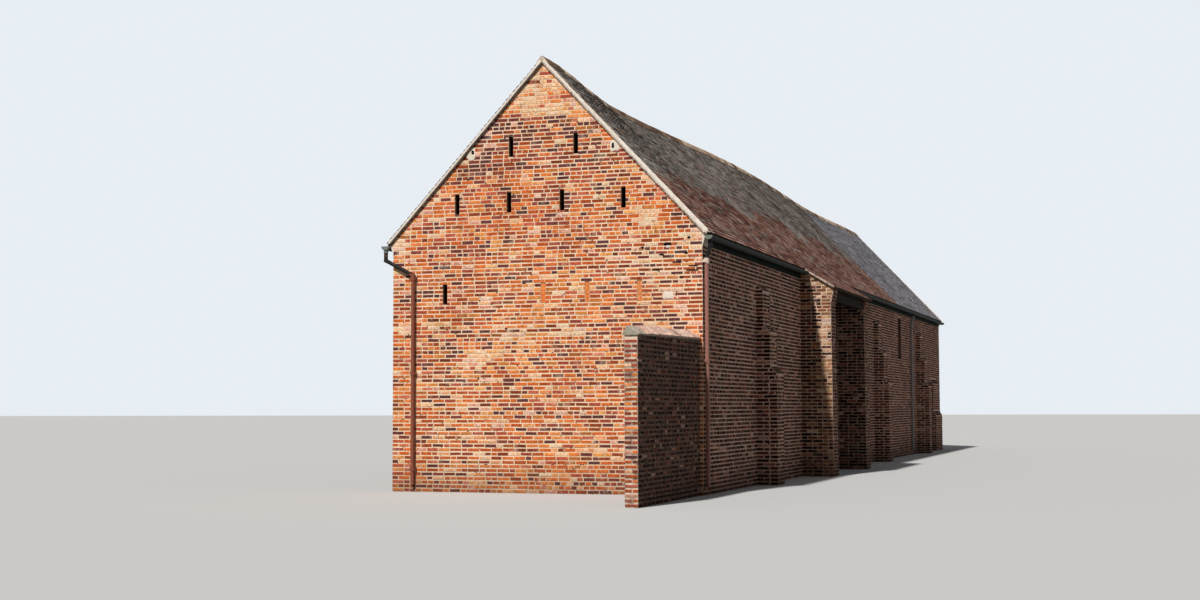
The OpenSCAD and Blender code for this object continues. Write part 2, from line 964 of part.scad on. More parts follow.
// Heights of the stub along y: it climbs from its free end to the gable
stub_x = half_w - stub_in;
function stub_top(y) = stub_h + stub_rise * (1 + y / stub_l);

module stub_wall() {
  color(brick_red)
    placed()
      translate([stub_x - stub_t, 0, 0])
        rotate([90, 0, 90])
          linear_extrude(stub_t)
            polygon([
              [-stub_l, 0],
              [0, 0],
              [0, stub_top(0)],
              [-stub_l, stub_top(-stub_l)]
            ]);
}

// Weathered coping whose back lies nearer the yard: most of it falls to the road side
module stub_coping() {
  yard_x = stub_x - stub_t - coping_out;
  road_x = stub_x + coping_out;
  color([0.50, 0.40, 0.32])
    placed()
      loft([for (y = [-stub_l - coping_out, 0]) [
        [yard_x, y, stub_top(y)],
        [yard_x, y, stub_top(y) + coping_edge],
        [yard_x + coping_back, y, stub_top(y) + coping_h],
        [road_x, y, stub_top(y) + coping_edge],
        [road_x, y, stub_top(y)]
      ]]);
}

floor();
front_gable();
rear_gable();
road_wall_near();
road_wall_far();
road_wall_head();
road_lintel();
yard_wall_near();
yard_wall_far();
yard_wall_head();
yard_lintel();
road_porch_cheeks();
road_porch_beam();
road_porch_roof();
yard_porch_cheeks();
yard_porch_beam();
yard_porch_roof();
road_buttresses();
yard_buttresses();
road_roof_slope();
yard_roof_slope();
ridge_tiles();
front_verge();
rear_verge();
kneelers();
wall_plates();
purlins();
tie_beams();
principal_rafters();
collars();
road_door_frame();
road_cart_doors();
yard_door_frame();
yard_cart_doors();
road_hatch_frame();
road_hatch_shutter();
yard_hatch_frame();
yard_hatch_shutter();
road_gutters();
yard_gutters();
road_downpipes();
yard_downpipe();
gable_downpipe();
stub_wall();
stub_coping();
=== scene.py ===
import math
import random
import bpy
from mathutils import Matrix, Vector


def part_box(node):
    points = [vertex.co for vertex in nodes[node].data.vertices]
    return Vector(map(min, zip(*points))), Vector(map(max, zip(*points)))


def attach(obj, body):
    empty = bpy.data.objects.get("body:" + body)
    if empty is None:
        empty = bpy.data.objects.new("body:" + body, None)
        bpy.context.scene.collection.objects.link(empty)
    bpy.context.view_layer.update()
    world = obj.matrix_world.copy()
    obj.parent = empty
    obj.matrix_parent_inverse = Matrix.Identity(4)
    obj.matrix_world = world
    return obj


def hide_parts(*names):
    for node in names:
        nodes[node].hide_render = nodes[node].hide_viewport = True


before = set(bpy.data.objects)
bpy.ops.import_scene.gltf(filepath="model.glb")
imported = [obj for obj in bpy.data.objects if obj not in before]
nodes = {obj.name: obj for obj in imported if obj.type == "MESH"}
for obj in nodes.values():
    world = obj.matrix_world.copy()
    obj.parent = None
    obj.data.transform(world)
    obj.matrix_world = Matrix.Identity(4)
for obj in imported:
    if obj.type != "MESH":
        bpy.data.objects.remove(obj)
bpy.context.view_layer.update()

from types import SimpleNamespace

import bmesh
import bpy
from mathutils import Matrix, Vector, noise
from mathutils.bvhtree import BVHTree

upward = Vector((0, 0, 1))
sides = (("road", 1), ("yard", -1))
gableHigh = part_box("front_gable")[1]
halfWidth = gableHigh.x
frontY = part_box("front_gable")[0].y
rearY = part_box("rear_gable")[1].y
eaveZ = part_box("front_verge")[0].z


def report(text):
    print("barn:", text)


# Camera where the photographer stood, on the verge of the road
cameraSettings = {
    "place": (10.785, -45.999, 1.59),
    "lens": 50.18,
    "turn": 0.322,
    "tilt": 0.0638,
    "roll": -0.0031,
}


def addToScene(name, data):
    made = bpy.data.objects.new(name, data)
    bpy.context.scene.collection.objects.link(made)
    return made


def makeCamera(settings):
    data = bpy.data.cameras.new("camera")
    data.lens = settings["lens"]
    data.sensor_width = 36
    data.clip_end = 500
    camera = addToScene("camera", data)
    camera.matrix_world = (
        Matrix.Translation(settings["place"])
        @ Matrix.Rotation(settings["turn"], 4, "Z")
        @ Matrix.Rotation(math.pi / 2 + settings["tilt"], 4, "X")
        @ Matrix.Rotation(settings["roll"], 4, "Z")
    )
    bpy.context.scene.camera = camera


# The nodes of one finish, of the world or of the laying, and the colour mixed so far
class Mixer:
    def __init__(self, tree, family="ShaderNode"):
        self.tree = tree
        self.family = family

    def plug(self, socket, value):
        if isinstance(value, bpy.types.NodeSocket):
            self.tree.links.new(value, socket)
        else:
            socket.default_value = (*value, 1) if socket.type == "RGBA" else value

    def add(self, kind, inputs=None, **settings):
        made = self.tree.nodes.new(self.family + kind)
        for key, value in settings.items():
            setattr(made, key, value)
        for key, value in (inputs or {}).items():
            self.plug(made.inputs[key], value)
        return made.outputs

    def compute(self, way, first, second=0.0):
        return self.add("Math", {0: first, 1: second}, operation=way)[0]

    def times(self, first, second):
        return self.compute("MULTIPLY", first, second)

    def plus(self, first, second):
        return self.compute("ADD", first, second)

    def mask(self, value, low, high):
        return self.add("MapRange", {"Value": value, "From Min": low, "From Max": high})["Result"]

    def attribute(self, name):
        return self.add("Attribute", attribute_name=name)["Fac"]

    def axis(self, letter):
        return self.add("SeparateXYZ", {0: self.coords})[letter]

    # 1 where a place lies past an edge; "out" measures from the middle of the barn
    def past(self, axis, edge):
        place = self.axis(axis[-1])
        if axis.startswith("out"):
            place = self.compute("ABSOLUTE", place)
        return self.compute("GREATER_THAN", place, edge)

    def stretch(self, scale):
        return self.add("Mapping", {"Vector": self.coords, "Scale": scale})[0]

    def cloud(self, scale, detail, rough=0.55, distortion=0.0, coords=None):
        inputs = {"Scale": scale, "Detail": detail, "Roughness": rough, "Distortion": distortion}
        return self.add("TexNoise", {"Vector": coords or self.coords, **inputs})["Fac"]

    def blend(self, amount, first, second, way="MIX"):
        return self.add("Mix", {0: amount, 6: first, 7: second}, data_type="RGBA", blend_type=way)[2]

    def ramp(self, value, stops):
        made = self.add("ValToRGB", {"Fac": value})["Color"]
        band = made.node.color_ramp
        first, *between, last = stops
        for element, (place, colour) in zip(band.elements, (first, last)):
            element.position, element.color = place, (*colour, 1)
        for place, colour in between:
            band.elements.new(place).color = (*colour, 1)
        return made

    # Another colour over the one so far, or under it
    def over(self, amount, colour):
        self.colour = self.blend(amount, self.colour, colour)

    def under(self, amount, colour):
        self.colour = self.blend(amount, colour, self.colour)

    def bands(self, bands):
        for axis, edge, colour in bands:
            self.over(self.past(axis, edge), colour)

    # The colour so far times a grey that runs from one level to another
    def shade(self, amount, value, *levels):
        greys = self.ramp(value, [(place, (level, level, level)) for place, level in levels])
        self.colour = self.blend(amount, self.colour, greys, "MULTIPLY")

    def close(self, height, distance, strength):
        self.plug(self.shader.inputs["Base Color"], self.colour)
        bump = self.add("Bump", {"Height": height, "Distance": distance, "Strength": strength})
        self.plug(self.shader.inputs["Normal"], bump[0])
        return self.made


# 1 for the rays that see the background, straight or in a reflection
def seenRay(mix):
    path = mix.add("LightPath")
    reflected = mix.compute("MAXIMUM", path["Is Glossy Ray"], path["Is Transmission Ray"])
    return mix.compute("MAXIMUM", path["Is Camera Ray"], reflected)


# Soft high sun, nearly square to the gable, and an even pale sky
lightSettings = {
    "sunTurn": 9.5,
    "sunHeight": 47,
    "sunPower": 3.6,
    "sunAngle": 2.5,
    "skyColour": (0.88, 0.95, 1.04),
    "skyPower": 0.16,
    "backdrop": (0.8, 0.85, 0.9),
    "floorColour": (0.23, 0.22, 0.205),
    "floorSeen": (0.6, 0.585, 0.56),
    "floorSize": 260,
}


def makeLights(settings):
    data = bpy.data.lights.new("sun", "SUN")
    data.energy = settings["sunPower"]
    data.angle = math.radians(settings["sunAngle"])
    turn = Matrix.Rotation(-math.radians(settings["sunTurn"]), 4, "Z")
    addToScene("sun", data).matrix_world = turn @ Matrix.Rotation(
        math.radians(90 - settings["sunHeight"]), 4, "X"
    )
    world = bpy.data.worlds.new("sky")
    world.use_nodes = True
    mix = Mixer(world.node_tree)
    sky = mix.add("Background", {"Color": settings["skyColour"], "Strength": settings["skyPower"]})
    seen = mix.add("Background", {"Color": settings["backdrop"]})
    choice = mix.add("MixShader", {0: seenRay(mix), 1: sky[0], 2: seen[0]})
    mix.plug(world.node_tree.nodes["World Output"].inputs["Surface"], choice[0])
    bpy.context.scene.world = world
    bpy.context.scene.view_settings.view_transform = "Standard"


# Brick, clay, lime and bare timber shine little, so their shine is set low
def startFinish(name, roughness, shine=0.02):
    made = bpy.data.materials.new(name)
    made.use_nodes = True
    mix = Mixer(made.node_tree)
    mix.made = made
    mix.shader = made.node_tree.nodes["Principled BSDF"]
    mix.plug(mix.shader.inputs["Roughness"], roughness)
    mix.plug(mix.shader.inputs["Specular IOR Level"], shine)
    mix.coords = mix.add("TexCoord")["Object"]
    return mix


# Three families of brick, each from burnt and dark to limed and pale
brickStops = (0.0, 0.3, 0.6, 0.85, 1.0)
gableBricks = [
    [(0.15, 0.038, 0.02), (0.44, 0.078, 0.022), (0.81, 0.168, 0.034), (0.95, 0.33, 0.09), (0.96, 0.69, 0.46)],
    [(0.17, 0.064, 0.026), (0.49, 0.146, 0.036), (0.84, 0.29, 0.062), (0.95, 0.46, 0.16), (0.96, 0.75, 0.51)],
    [
        (0.105, 0.044, 0.045), (0.255, 0.058, 0.046), (0.55, 0.098, 0.048), (0.76, 0.215, 0.115),
        (0.92, 0.61, 0.47),
    ],
]
# The sides' bricks: a darker copy of the gable's, for weathering and as painted shade on the sides that stand
# in shade
sideBricksWeatheredAndShaded = [
    [(0.014, 0.005, 0.004), (0.062, 0.016, 0.01), (0.22, 0.059, 0.032), (0.42, 0.15, 0.09), (0.72, 0.43, 0.32)],
    [(0.015, 0.008, 0.005), (0.06, 0.026, 0.016), (0.2, 0.086, 0.05), (0.39, 0.2, 0.125), (0.72, 0.5, 0.38)],
    [(0.009, 0.004, 0.004), (0.036, 0.012, 0.01), (0.12, 0.037, 0.03), (0.29, 0.12, 0.098), (0.6, 0.39, 0.33)],
]
# The front of the near cheek: bricks half-way between the gable's and the sides', as painted sun and shade on a
# half-lit face
pierBricksHalfShaded = [
    [(0.03, 0.01, 0.006), (0.1, 0.028, 0.014), (0.3, 0.1, 0.044), (0.52, 0.23, 0.11), (0.76, 0.5, 0.34)],
    [(0.036, 0.017, 0.009), (0.12, 0.052, 0.023), (0.34, 0.17, 0.072), (0.6, 0.34, 0.16), (0.76, 0.58, 0.41)],
    [(0.016, 0.008, 0.008), (0.06, 0.019, 0.015), (0.19, 0.06, 0.042), (0.43, 0.175, 0.13), (0.68, 0.46, 0.39)],
]


# Handmade brick: each brick has a tone and a family, the weather is laid over the whole wall,
# and mortar is smeared over the edges
def brickFinish(name, families, lime, limeShare, grime):
    mix = startFinish(name, 0.88)
    mottle = mix.cloud(19, 7, 0.72)
    tone = mix.plus(mix.attribute("tone"), mix.compute("SUBTRACT", mix.times(mottle, 0.9), 0.45))
    hue = mix.attribute("hue")
    plain, ochre, purple = (mix.ramp(tone, list(zip(brickStops, family))) for family in families)
    mix.colour = mix.blend(mix.mask(hue, 0.48, 0.52), plain, ochre)
    mix.over(mix.mask(hue, 0.72, 0.76), purple)
    mix.shade(0.8, mix.cloud(47, 4, 0.7), (0.34, 0.42), (0.62, 1.32))
    mix.over(mix.times(mix.mask(mix.cloud(9, 4, 0.6, 1.5), 0.62, 0.74), 0.8), grime)
    streaks = mix.cloud(2.2, 6, coords=mix.stretch((1.3, 1.3, 0.22)))
    mix.shade(0.6, streaks, (0.36, 0.72), (0.6, 1.1))
    bloom = mix.mask(mix.cloud(4.6, 8, 0.72), 0.56, 0.72)
    mix.over(mix.times(bloom, limeShare), lime)
    smear = mix.plus(mix.attribute("edge"), mix.times(mix.cloud(30, 5, 0.75), 1.9))
    mix.over(mix.times(mix.mask(smear, 1.4, 1.56), 0.85), lime)
    mix.over(mix.times(mix.mask(mix.axis("Z"), 0.75, 0.0), 0.45), grime)
    pits = mix.plus(mix.times(mottle, 1.6), mix.cloud(150, 4, 0.7))
    return mix.close(pits, 0.0025, 0.8)


# Lime mortar outside, and a brick pattern on the faces inside the barn
def bedFinish(name, light, dark, earth, bands=()):
    mix = startFinish(name, 0.95)
    mix.colour = light
    mix.bands(bands)
    lump = mix.cloud(6, 7, 0.7)
    mix.under(mix.mask(lump, 0.32, 0.6), dark)
    mix.over(mix.times(mix.mask(mix.cloud(0.9, 4, 0.6), 0.44, 0.62), 0.42), earth)
    speck = mix.cloud(70, 3, 0.6)
    mix.shade(0.5, speck, (0.34, 0.62), (0.52, 1.05))
    # Dark pits where mortar is lost: painted shade in the hollows
    lostMortarShade = mix.mask(mix.cloud(13, 4, 0.5, 1.0), 0.63, 0.67)
    mix.over(lostMortarShade, (0.045, 0.024, 0.016))
    mix.over(mix.times(mix.mask(mix.axis("Z"), 0.7, 0.0), 0.5), (0.12, 0.09, 0.06))
    outside = mix.compute("MAXIMUM", mix.past("outX", halfWidth - 0.006), mix.past("outY", rearY - 0.035))
    across = mix.add("CombineXYZ", {"X": mix.plus(mix.axis("X"), mix.axis("Y")), "Y": mix.axis("Z")})
    courses = mix.add("TexBrick", {
        "Vector": across[0],
        "Color1": (0.22, 0.1, 0.06),
        "Color2": (0.14, 0.06, 0.04),
        "Mortar": (0.32, 0.22, 0.16),
        "Scale": 1.0,
        "Mortar Size": 0.008,
        "Mortar Smooth": 0.3,
        "Brick Width": 0.235,
        "Row Height": 0.076,
    })
    mix.under(outside, courses["Color"])
    return mix.close(mix.plus(lump, speck), 0.006, 0.7)


def evenly(colours):
    return [(index / (len(colours) - 1), colour) for index, colour in enumerate(colours)]


# Clay roof tiles: tone is how pale a tile is, and hue runs from red-brown over grey-brown
# to blue-grey, and past that to tiles that mortar covers
def tileFinish(name, families, lichenShare, shade):
    mix = startFinish(name, 0.82)
    tone, hue = mix.attribute("tone"), mix.attribute("hue")
    red, brown, blue = (mix.ramp(tone, evenly(family)) for family in families)
    mix.colour = mix.blend(mix.mask(hue, 0.1, 0.5), red, brown)
    mix.over(mix.mask(hue, 0.6, 0.9), blue)
    mortared = mix.mask(hue, 1.4, 1.6)
    mottle = mix.cloud(17, 6, 0.7)
    mix.shade(0.9, mottle, (0.34, 0.32), (0.64, 1.75))
    mix.over(mortared, mix.ramp(mottle, [(0.3, (0.46, 0.33, 0.24)), (0.55, (0.88, 0.72, 0.56))]))
    lichen = mix.mask(mix.cloud(30, 5, 0.75), 0.6, 0.7)
    patch = mix.mask(mix.cloud(1.1, 4, 0.6), 0.45, 0.62)
    highAndNear = mix.times(mix.mask(mix.axis("Z"), 5.9, 7.4), mix.mask(mix.axis("Y"), -7.0, -16.5))
    patch = mix.compute("MAXIMUM", patch, highAndNear)
    mix.over(mix.times(mix.times(lichen, patch), lichenShare), (0.56, 0.52, 0.33))
    mix.over(mix.times(mix.mask(mix.cloud(8, 6, 0.7), 0.64, 0.76), 0.6), (0.05, 0.052, 0.024))
    # Tile sides and tails painted dark as shade, as far as the finish's shade amount; mortared tiles are not
    # darkened
    paintedEdgeShade = mix.times(mix.attribute("edge"), mix.compute("SUBTRACT", shade, mortared))
    mix.over(mix.compute("MAXIMUM", paintedEdgeShade, 0.0), (0.012, 0.008, 0.006))
    return mix.close(mix.plus(mottle, mix.cloud(120, 4, 0.7)), 0.002, 0.7)


def plainFinish(name, light, dark, scale, roughness, bump, bands=()):
    mix = startFinish(name, roughness)
    mix.colour = light
    mix.bands(bands)
    wide, fine = mix.cloud(scale, 7, 0.68), mix.cloud(scale * 9, 4, 0.65)
    mix.under(mix.mask(wide, 0.36, 0.64), dark)
    mix.shade(0.6, fine, (0.34, 0.68), (0.6, 1.06))
    return mix.close(mix.plus(wide, fine), bump, 0.7)


# Sawn and weathered timber with its grain along one axis
def woodFinish(name, axis, light, dark, wear):
    mix = startFinish(name, 0.8)
    along = mix.stretch([1.2 if letter == axis else 22 for letter in "XYZ"])
    grain = mix.cloud(1.0, 8, 0.7, 0.6, along)
    fibre = mix.cloud(5.5, 3, 0.5, 0.0, along)
    mix.colour = mix.blend(mix.mask(grain, 0.34, 0.66), dark, light)
    mix.shade(0.7, fibre, (0.38, 0.5), (0.56, 1.05))
    mix.over(mix.times(mix.mask(mix.cloud(2.4, 6, 0.7), 0.5, 0.68), 0.6), wear)
    return mix.close(mix.plus(grain, fibre), 0.003, 0.9)


# Painted iron with rust where the paint has gone; each band has another paint past its edge
def ironFinish(name, paint, rust, bands=(), gloss=0.45):
    mix = startFinish(name, gloss, 0.12)
    mix.colour = paint
    mix.bands(bands)
    flake = mix.mask(mix.cloud(11, 7, 0.72), 0.56, 0.66)
    mix.over(mix.times(flake, 0.75), rust)
    rough = mix.add("MapRange", {"Value": flake, "To Min": gloss, "To Max": 0.88})
    mix.plug(mix.shader.inputs["Roughness"], rough["Result"])
    return mix.close(mix.cloud(45, 5, 0.6), 0.0015, 0.6)


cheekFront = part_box("road_porch_cheeks")[0].y + 0.004
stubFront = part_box("stub_wall")[0].y + 0.003
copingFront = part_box("stub_coping")[0].y + 0.003

# The maker of each finish and what it takes: pale first and dark second, and the bands, past
# whose edges the pale colour is another
recipes = {
    "gableBrick": (brickFinish, gableBricks, (0.9, 0.7, 0.5), 0.6, (0.12, 0.046, 0.03)),
    "pierBrick": (brickFinish, pierBricksHalfShaded, (0.8, 0.58, 0.44), 0.4, (0.06, 0.026, 0.018)),
    "sideBrick": (brickFinish, sideBricksWeatheredAndShaded, (0.7, 0.48, 0.38), 0.3, (0.034, 0.014, 0.01)),
    "gableBed": (bedFinish, (0.97, 0.77, 0.55), (0.84, 0.53, 0.33), (0.8, 0.44, 0.22)),
    "sideBed": (bedFinish, (0.96, 0.68, 0.54), (0.78, 0.5, 0.38), (0.62, 0.4, 0.28)),
    # Cheek mortar: bright on the sunlit front and darker on the faces in shade, as painted sun and shade
    "cheekBed": (
        bedFinish, (0.88, 0.66, 0.49), (0.36, 0.24, 0.175), (0.6, 0.44, 0.32),
        [("Y", cheekFront, (0.6, 0.42, 0.32))],
    ),
    "roofTile": (
        tileFinish,
        [
            [
                (0.025, 0.009, 0.007), (0.097, 0.037, 0.025), (0.262, 0.122, 0.086),
                (0.455, 0.266, 0.207), (0.558, 0.432, 0.366),
            ],
            [
                (0.025, 0.02, 0.015), (0.097, 0.081, 0.068), (0.255, 0.218, 0.191),
                (0.435, 0.383, 0.338), (0.558, 0.51, 0.462),
            ],
            [
                (0.039, 0.037, 0.043), (0.131, 0.125, 0.138), (0.297, 0.286, 0.31),
                (0.455, 0.438, 0.455), (0.54, 0.522, 0.516),
            ],
        ],
        0.8, 0.5,
    ),
    "porchTile": (
        tileFinish,
        [
            [(0.07, 0.026, 0.018), (0.32, 0.15, 0.112), (0.64, 0.42, 0.34)],
            [(0.07, 0.042, 0.033), (0.32, 0.212, 0.17), (0.64, 0.48, 0.4)],
            [(0.07, 0.042, 0.033), (0.32, 0.212, 0.17), (0.64, 0.48, 0.4)],
        ],
        0.5, 0.0,
    ),
    "copingTile": (
        tileFinish,
        [
            [(0.42, 0.22, 0.16), (0.76, 0.44, 0.33), (0.93, 0.68, 0.54)],
            [(0.42, 0.27, 0.2), (0.76, 0.51, 0.4), (0.93, 0.73, 0.58)],
            [(0.38, 0.27, 0.22), (0.66, 0.48, 0.4), (0.88, 0.7, 0.57)],
        ],
        0.7, 0.3,
    ),
    "ridgeTile": (
        tileFinish,
        [
            [(0.1, 0.055, 0.035), (0.3, 0.18, 0.11), (0.7, 0.52, 0.36)],
            [(0.11, 0.08, 0.055), (0.33, 0.25, 0.18), (0.72, 0.6, 0.46)],
            [(0.08, 0.07, 0.06), (0.26, 0.23, 0.2), (0.62, 0.56, 0.47)],
        ],
        0.9, 0.3,
    ),
    "limeMortar": (plainFinish, (0.94, 0.79, 0.64), (0.66, 0.51, 0.39), 9, 0.93, 0.006),
    "vergeMortar": (plainFinish, (0.97, 0.87, 0.76), (0.84, 0.7, 0.57), 9, 0.93, 0.006),
    "porchMortar": (plainFinish, (0.9, 0.7, 0.56), (0.22, 0.14, 0.1), 11, 0.93, 0.006),
    "limeRender": (plainFinish, (0.96, 0.84, 0.71), (0.86, 0.7, 0.56), 5, 0.92, 0.005),
    # Verge strip: black on the left half as painted shadow under the verge, pale mortar on the right half
    "vergeStrip": (
        plainFinish, (0.03, 0.027, 0.026), (0.24, 0.18, 0.14), 14, 0.92, 0.004,
        [("X", 0.0, (0.93, 0.8, 0.67))],
    ),
    # Stub mortar: pale on the lit end face and dark on its sides, which is dirt and painted shade
    "stubBed": (
        plainFinish, (0.88, 0.66, 0.5), (0.1, 0.066, 0.048), 5, 0.95, 0.005,
        [("Y", stubFront, (0.33, 0.23, 0.17))],
    ),
    # Dark sheet under the tiles: painted shade in the gaps between them; pale mortar on its ends at the verges
    "roofSheet": (
        plainFinish, (0.11, 0.075, 0.055), (0.04, 0.028, 0.02), 8, 0.9, 0.004,
        [("outY", rearY + 0.045, (0.9, 0.72, 0.54))],
    ),
    "copingStone": (
        plainFinish, (0.42, 0.42, 0.33), (0.34, 0.27, 0.2), 7, 0.92, 0.005,
        [("Y", copingFront, (0.92, 0.76, 0.62))],
    ),
    # Near-black lumps: painted shade in holes and eroded joints
    "darkHole": (plainFinish, (0.022, 0.015, 0.012), (0.01, 0.008, 0.007), 12, 0.95, 0.004),
    "floorBrick": (plainFinish, (0.26, 0.15, 0.1), (0.13, 0.08, 0.06), 5, 0.9, 0.004),
    # Near-black paint on the eaves boards: their paint, and painted shade under the eaves
    "fascia": (plainFinish, (0.014, 0.019, 0.014), (0.006, 0.008, 0.006), 7, 0.75, 0.003),
    # Oak along the barn: a darker copy of the upright oak, painted shade for the beams that stand in deep shade
    "oakAlong": (woodFinish, "Y", (0.03, 0.021, 0.015), (0.009, 0.006, 0.005), (0.044, 0.035, 0.028)),
    "oakUpright": (woodFinish, "Z", (0.1, 0.07, 0.048), (0.032, 0.022, 0.016), (0.14, 0.12, 0.1)),
    "doorBoards": (woodFinish, "Z", (0.095, 0.066, 0.047), (0.03, 0.021, 0.016), (0.15, 0.13, 0.11)),
    "redBoards": (woodFinish, "Z", (0.105, 0.024, 0.019), (0.045, 0.012, 0.01), (0.11, 0.06, 0.05)),
    "blackIron": (ironFinish, (0.014, 0.016, 0.014), (0.05, 0.024, 0.015)),
    "gablePipe": (
        ironFinish, (0.27, 0.085, 0.05), (0.38, 0.12, 0.06), [("Z", 4.12, (0.018, 0.016, 0.015))], 0.6
    ),
    "gutterIron": (
        ironFinish, (0.013, 0.018, 0.014), (0.03, 0.019, 0.013),
        [("outY", rearY + 0.03, (0.19, 0.21, 0.17))], 0.7,
    ),
    "roadPipe": (
        ironFinish, (0.36, 0.165, 0.125), (0.21, 0.085, 0.055),
        [("Z", 4.16, (0.8, 0.62, 0.5)), ("Z", 4.26, (0.016, 0.015, 0.014)), ("Y", 0.0, (0.33, 0.32, 0.31))],
    ),
    "yardPipe": (ironFinish, (0.2, 0.07, 0.044), (0.11, 0.042, 0.026)),
}
finishes = {name: maker(name, *rest) for name, (maker, *rest) in recipes.items()}
report("finishes mixed")


# A bed holds one point for each brick or tile, with its size, turn and shade
def startBed():
    bed = bmesh.new()
    layers = {name: bed.verts.layers.float_vector.new(name) for name in ("size", "turn")}
    layers.update({name: bed.verts.layers.float.new(name) for name in ("tone", "hue")})
    return bed, layers


def layOne(bed, place, turn, size, tone, hue=0.0):
    mesh, layers = bed
    point = mesh.verts.new(place)
    for name, value in (("size", size), ("turn", Vector(turn.to_euler())), ("tone", tone), ("hue", hue)):
        point[layers[name]] = value


def makeLayingGroup():
    group = bpy.data.node_groups.new("laying", "GeometryNodeTree")
    for name, way, kind in (
        ("Bed", "INPUT", "Geometry"), ("Shape", "INPUT", "Object"),
        ("Finish", "INPUT", "Material"), ("Laid", "OUTPUT", "Geometry"),
    ):
        group.interface.new_socket(name=name, in_out=way, socket_type="NodeSocket" + kind)
    mix = Mixer(group, "")
    entry = mix.add("NodeGroupInput")
    shape = mix.add("GeometryNodeObjectInfo", {"Object": entry["Shape"]})
    turn, size = (
        mix.add("GeometryNodeInputNamedAttribute", {"Name": name}, data_type="FLOAT_VECTOR")[0]
        for name in ("turn", "size")
    )
    spread = mix.add("GeometryNodeInstanceOnPoints", {
        "Points": entry["Bed"],
        "Instance": shape["Geometry"],
        "Rotation": mix.add("FunctionNodeEulerToRotation", {0: turn})[0],
        "Scale": size,
    })
    laid = mix.add("GeometryNodeRealizeInstances", {"Geometry": spread[0]})
    dressed = mix.add("GeometryNodeSetMaterial", {"Geometry": laid[0], "Material": entry["Finish"]})
    mix.add("NodeGroupOutput", {"Laid": dressed[0]})
    return group


layingGroup = makeLayingGroup()


def makePiece(name, mesh, finish=None):
    piece = addToScene(name, mesh)
    if finish:
        mesh.materials.append(finishes[finish])
    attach(piece, "root")
    return piece


def meshFrom(name, shape):
    mesh = bpy.data.meshes.new(name)
    shape.to_mesh(mesh)
    shape.free()
    return mesh


def pieceFromBmesh(name, shape, finish):
    bmesh.ops.recalc_face_normals(shape, faces=shape.faces)
    return makePiece(name, meshFrom(name, shape), finish)


# Every point of the bed becomes a copy of the shape, and all copies become one mesh
def pieceFromBed(name, bed, shape, finish):
    piece = makePiece(name, meshFrom(name, bed[0]))
    count = len(piece.data.vertices)
    laying = piece.modifiers.new("laying", "NODES")
    laying.node_group = layingGroup
    inputs = {"Shape": shape, "Finish": finishes[finish]}
    for item in layingGroup.interface.items_tree:
        if item.name in inputs:
            laying[item.identifier] = inputs[item.name]
    bpy.context.view_layer.update()
    graph = bpy.context.evaluated_depsgraph_get()
    laid = bpy.data.meshes.new_from_object(
        piece.evaluated_get(graph), preserve_all_data_layers=True, depsgraph=graph
    )
    piece.modifiers.clear()
    piece.data = laid
    for spare in ("size", "turn"):
        if spare in laid.attributes:
            laid.attributes.remove(laid.attributes[spare])
    report(f"{name}: {count} laid, {len(laid.polygons)} faces")


# A shape to be laid many times; edge is 1 on its edges, where bricks take smeared lime and tiles are painted
# dark as shade
def shapeFromBmesh(name, shape, isEdge):
    bmesh.ops.recalc_face_normals(shape, faces=shape.faces)
    mesh = meshFrom(name, shape)
    layer = mesh.attributes.new("edge", "FLOAT", "CORNER")
    for face in mesh.polygons:
        for index in face.loop_indices:
            corner = mesh.vertices[mesh.loops[index].vertex_index]
            layer.data[index].value = isEdge(face.normal, corner.co)
    return bpy.data.objects.new(name, mesh)


# A block between any two opposite corners
def addBlock(shape, first, second, bevel=0.0):
    low, high = Vector(map(min, first, second)), Vector(map(max, first, second))
    place = Matrix.Translation((low + high) / 2) @ Matrix.Diagonal((*(high - low), 1))
    made = bmesh.ops.create_cube(shape, size=1, matrix=place)
    if bevel:
        edges = list({edge for corner in made["verts"] for edge in corner.link_edges})
        bmesh.ops.bevel(
            shape, geom=edges, offset=bevel, offset_type="OFFSET", segments=1,
            profile=0.5, affect="EDGES", material=-1, clamp_overlap=True,
        )
    return made["verts"]


# What the rays of the bricklayer and the tiler fall on
def surfaceOf(*names):
    corners, faces = [], []
    for name in names:
        mesh = nodes[name].data
        start = len(corners)
        corners += [corner.co.copy() for corner in mesh.vertices]
        faces += [[start + index for index in face.vertices] for face in mesh.polygons]
    return BVHTree.FromPolygons(corners, faces)


# How near the middle of the barn and how far from it a node reaches, across the barn
def reachOf(name):
    return sorted(abs(corner.x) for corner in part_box(name))


def wobble(draw, spread, axis, mean=0.0):
    return Matrix.Rotation(mean + draw.gauss(0, spread), 3, axis)


# Axes of what lies on a slope, and the way up it
def lieOn(normal):
    rising = (upward - normal * normal.z).normalized()
    return Matrix((rising.cross(normal), rising, normal)).transposed(), rising


def clamp(value, low=0, high=1):
    return min(high, max(low, value))


# Brickwork: courses of handmade bricks that stand a little proud of their mortar
brickwork = {
    "gauge": 0.0762,
    "bedJoint": 0.0185,
    "sideJoint": 0.014,
    "stretcher": 0.223,
    "header": 0.107,
    "thickness": 0.02,
    "proud": (0.002, 0.007),
    "chamfer": 0.0045,
    "crest": 0.003,
    "step": 0.022,
    "smallest": 0.045,
    "thinnest": 0.02,
    "wave": 0.007,
    "tilt": (0.01, 0.006),
    "widths": (0.955, 1.015),
    "heights": (0.91, 1.07),
    "lengths": (0.95, 1.05),
    "eaves": 4.5,
    "cheekTop": 4.6,
    "buttressOut": 0.46,
    "seed": 7,
}
brickHeight = brickwork["gauge"] - brickwork["bedJoint"]

# Wider joints and more headers along the sides, and tight ones in the weatherings
sideWork = {"joint": 0.0225, "sideJoint": 0.024, "headers": 0.5}
weathering = {"joint": 0.008, "sideJoint": 0.008}
cheekWork = {"joint": 0.016, "sideJoint": 0.015, "headers": 0.35}


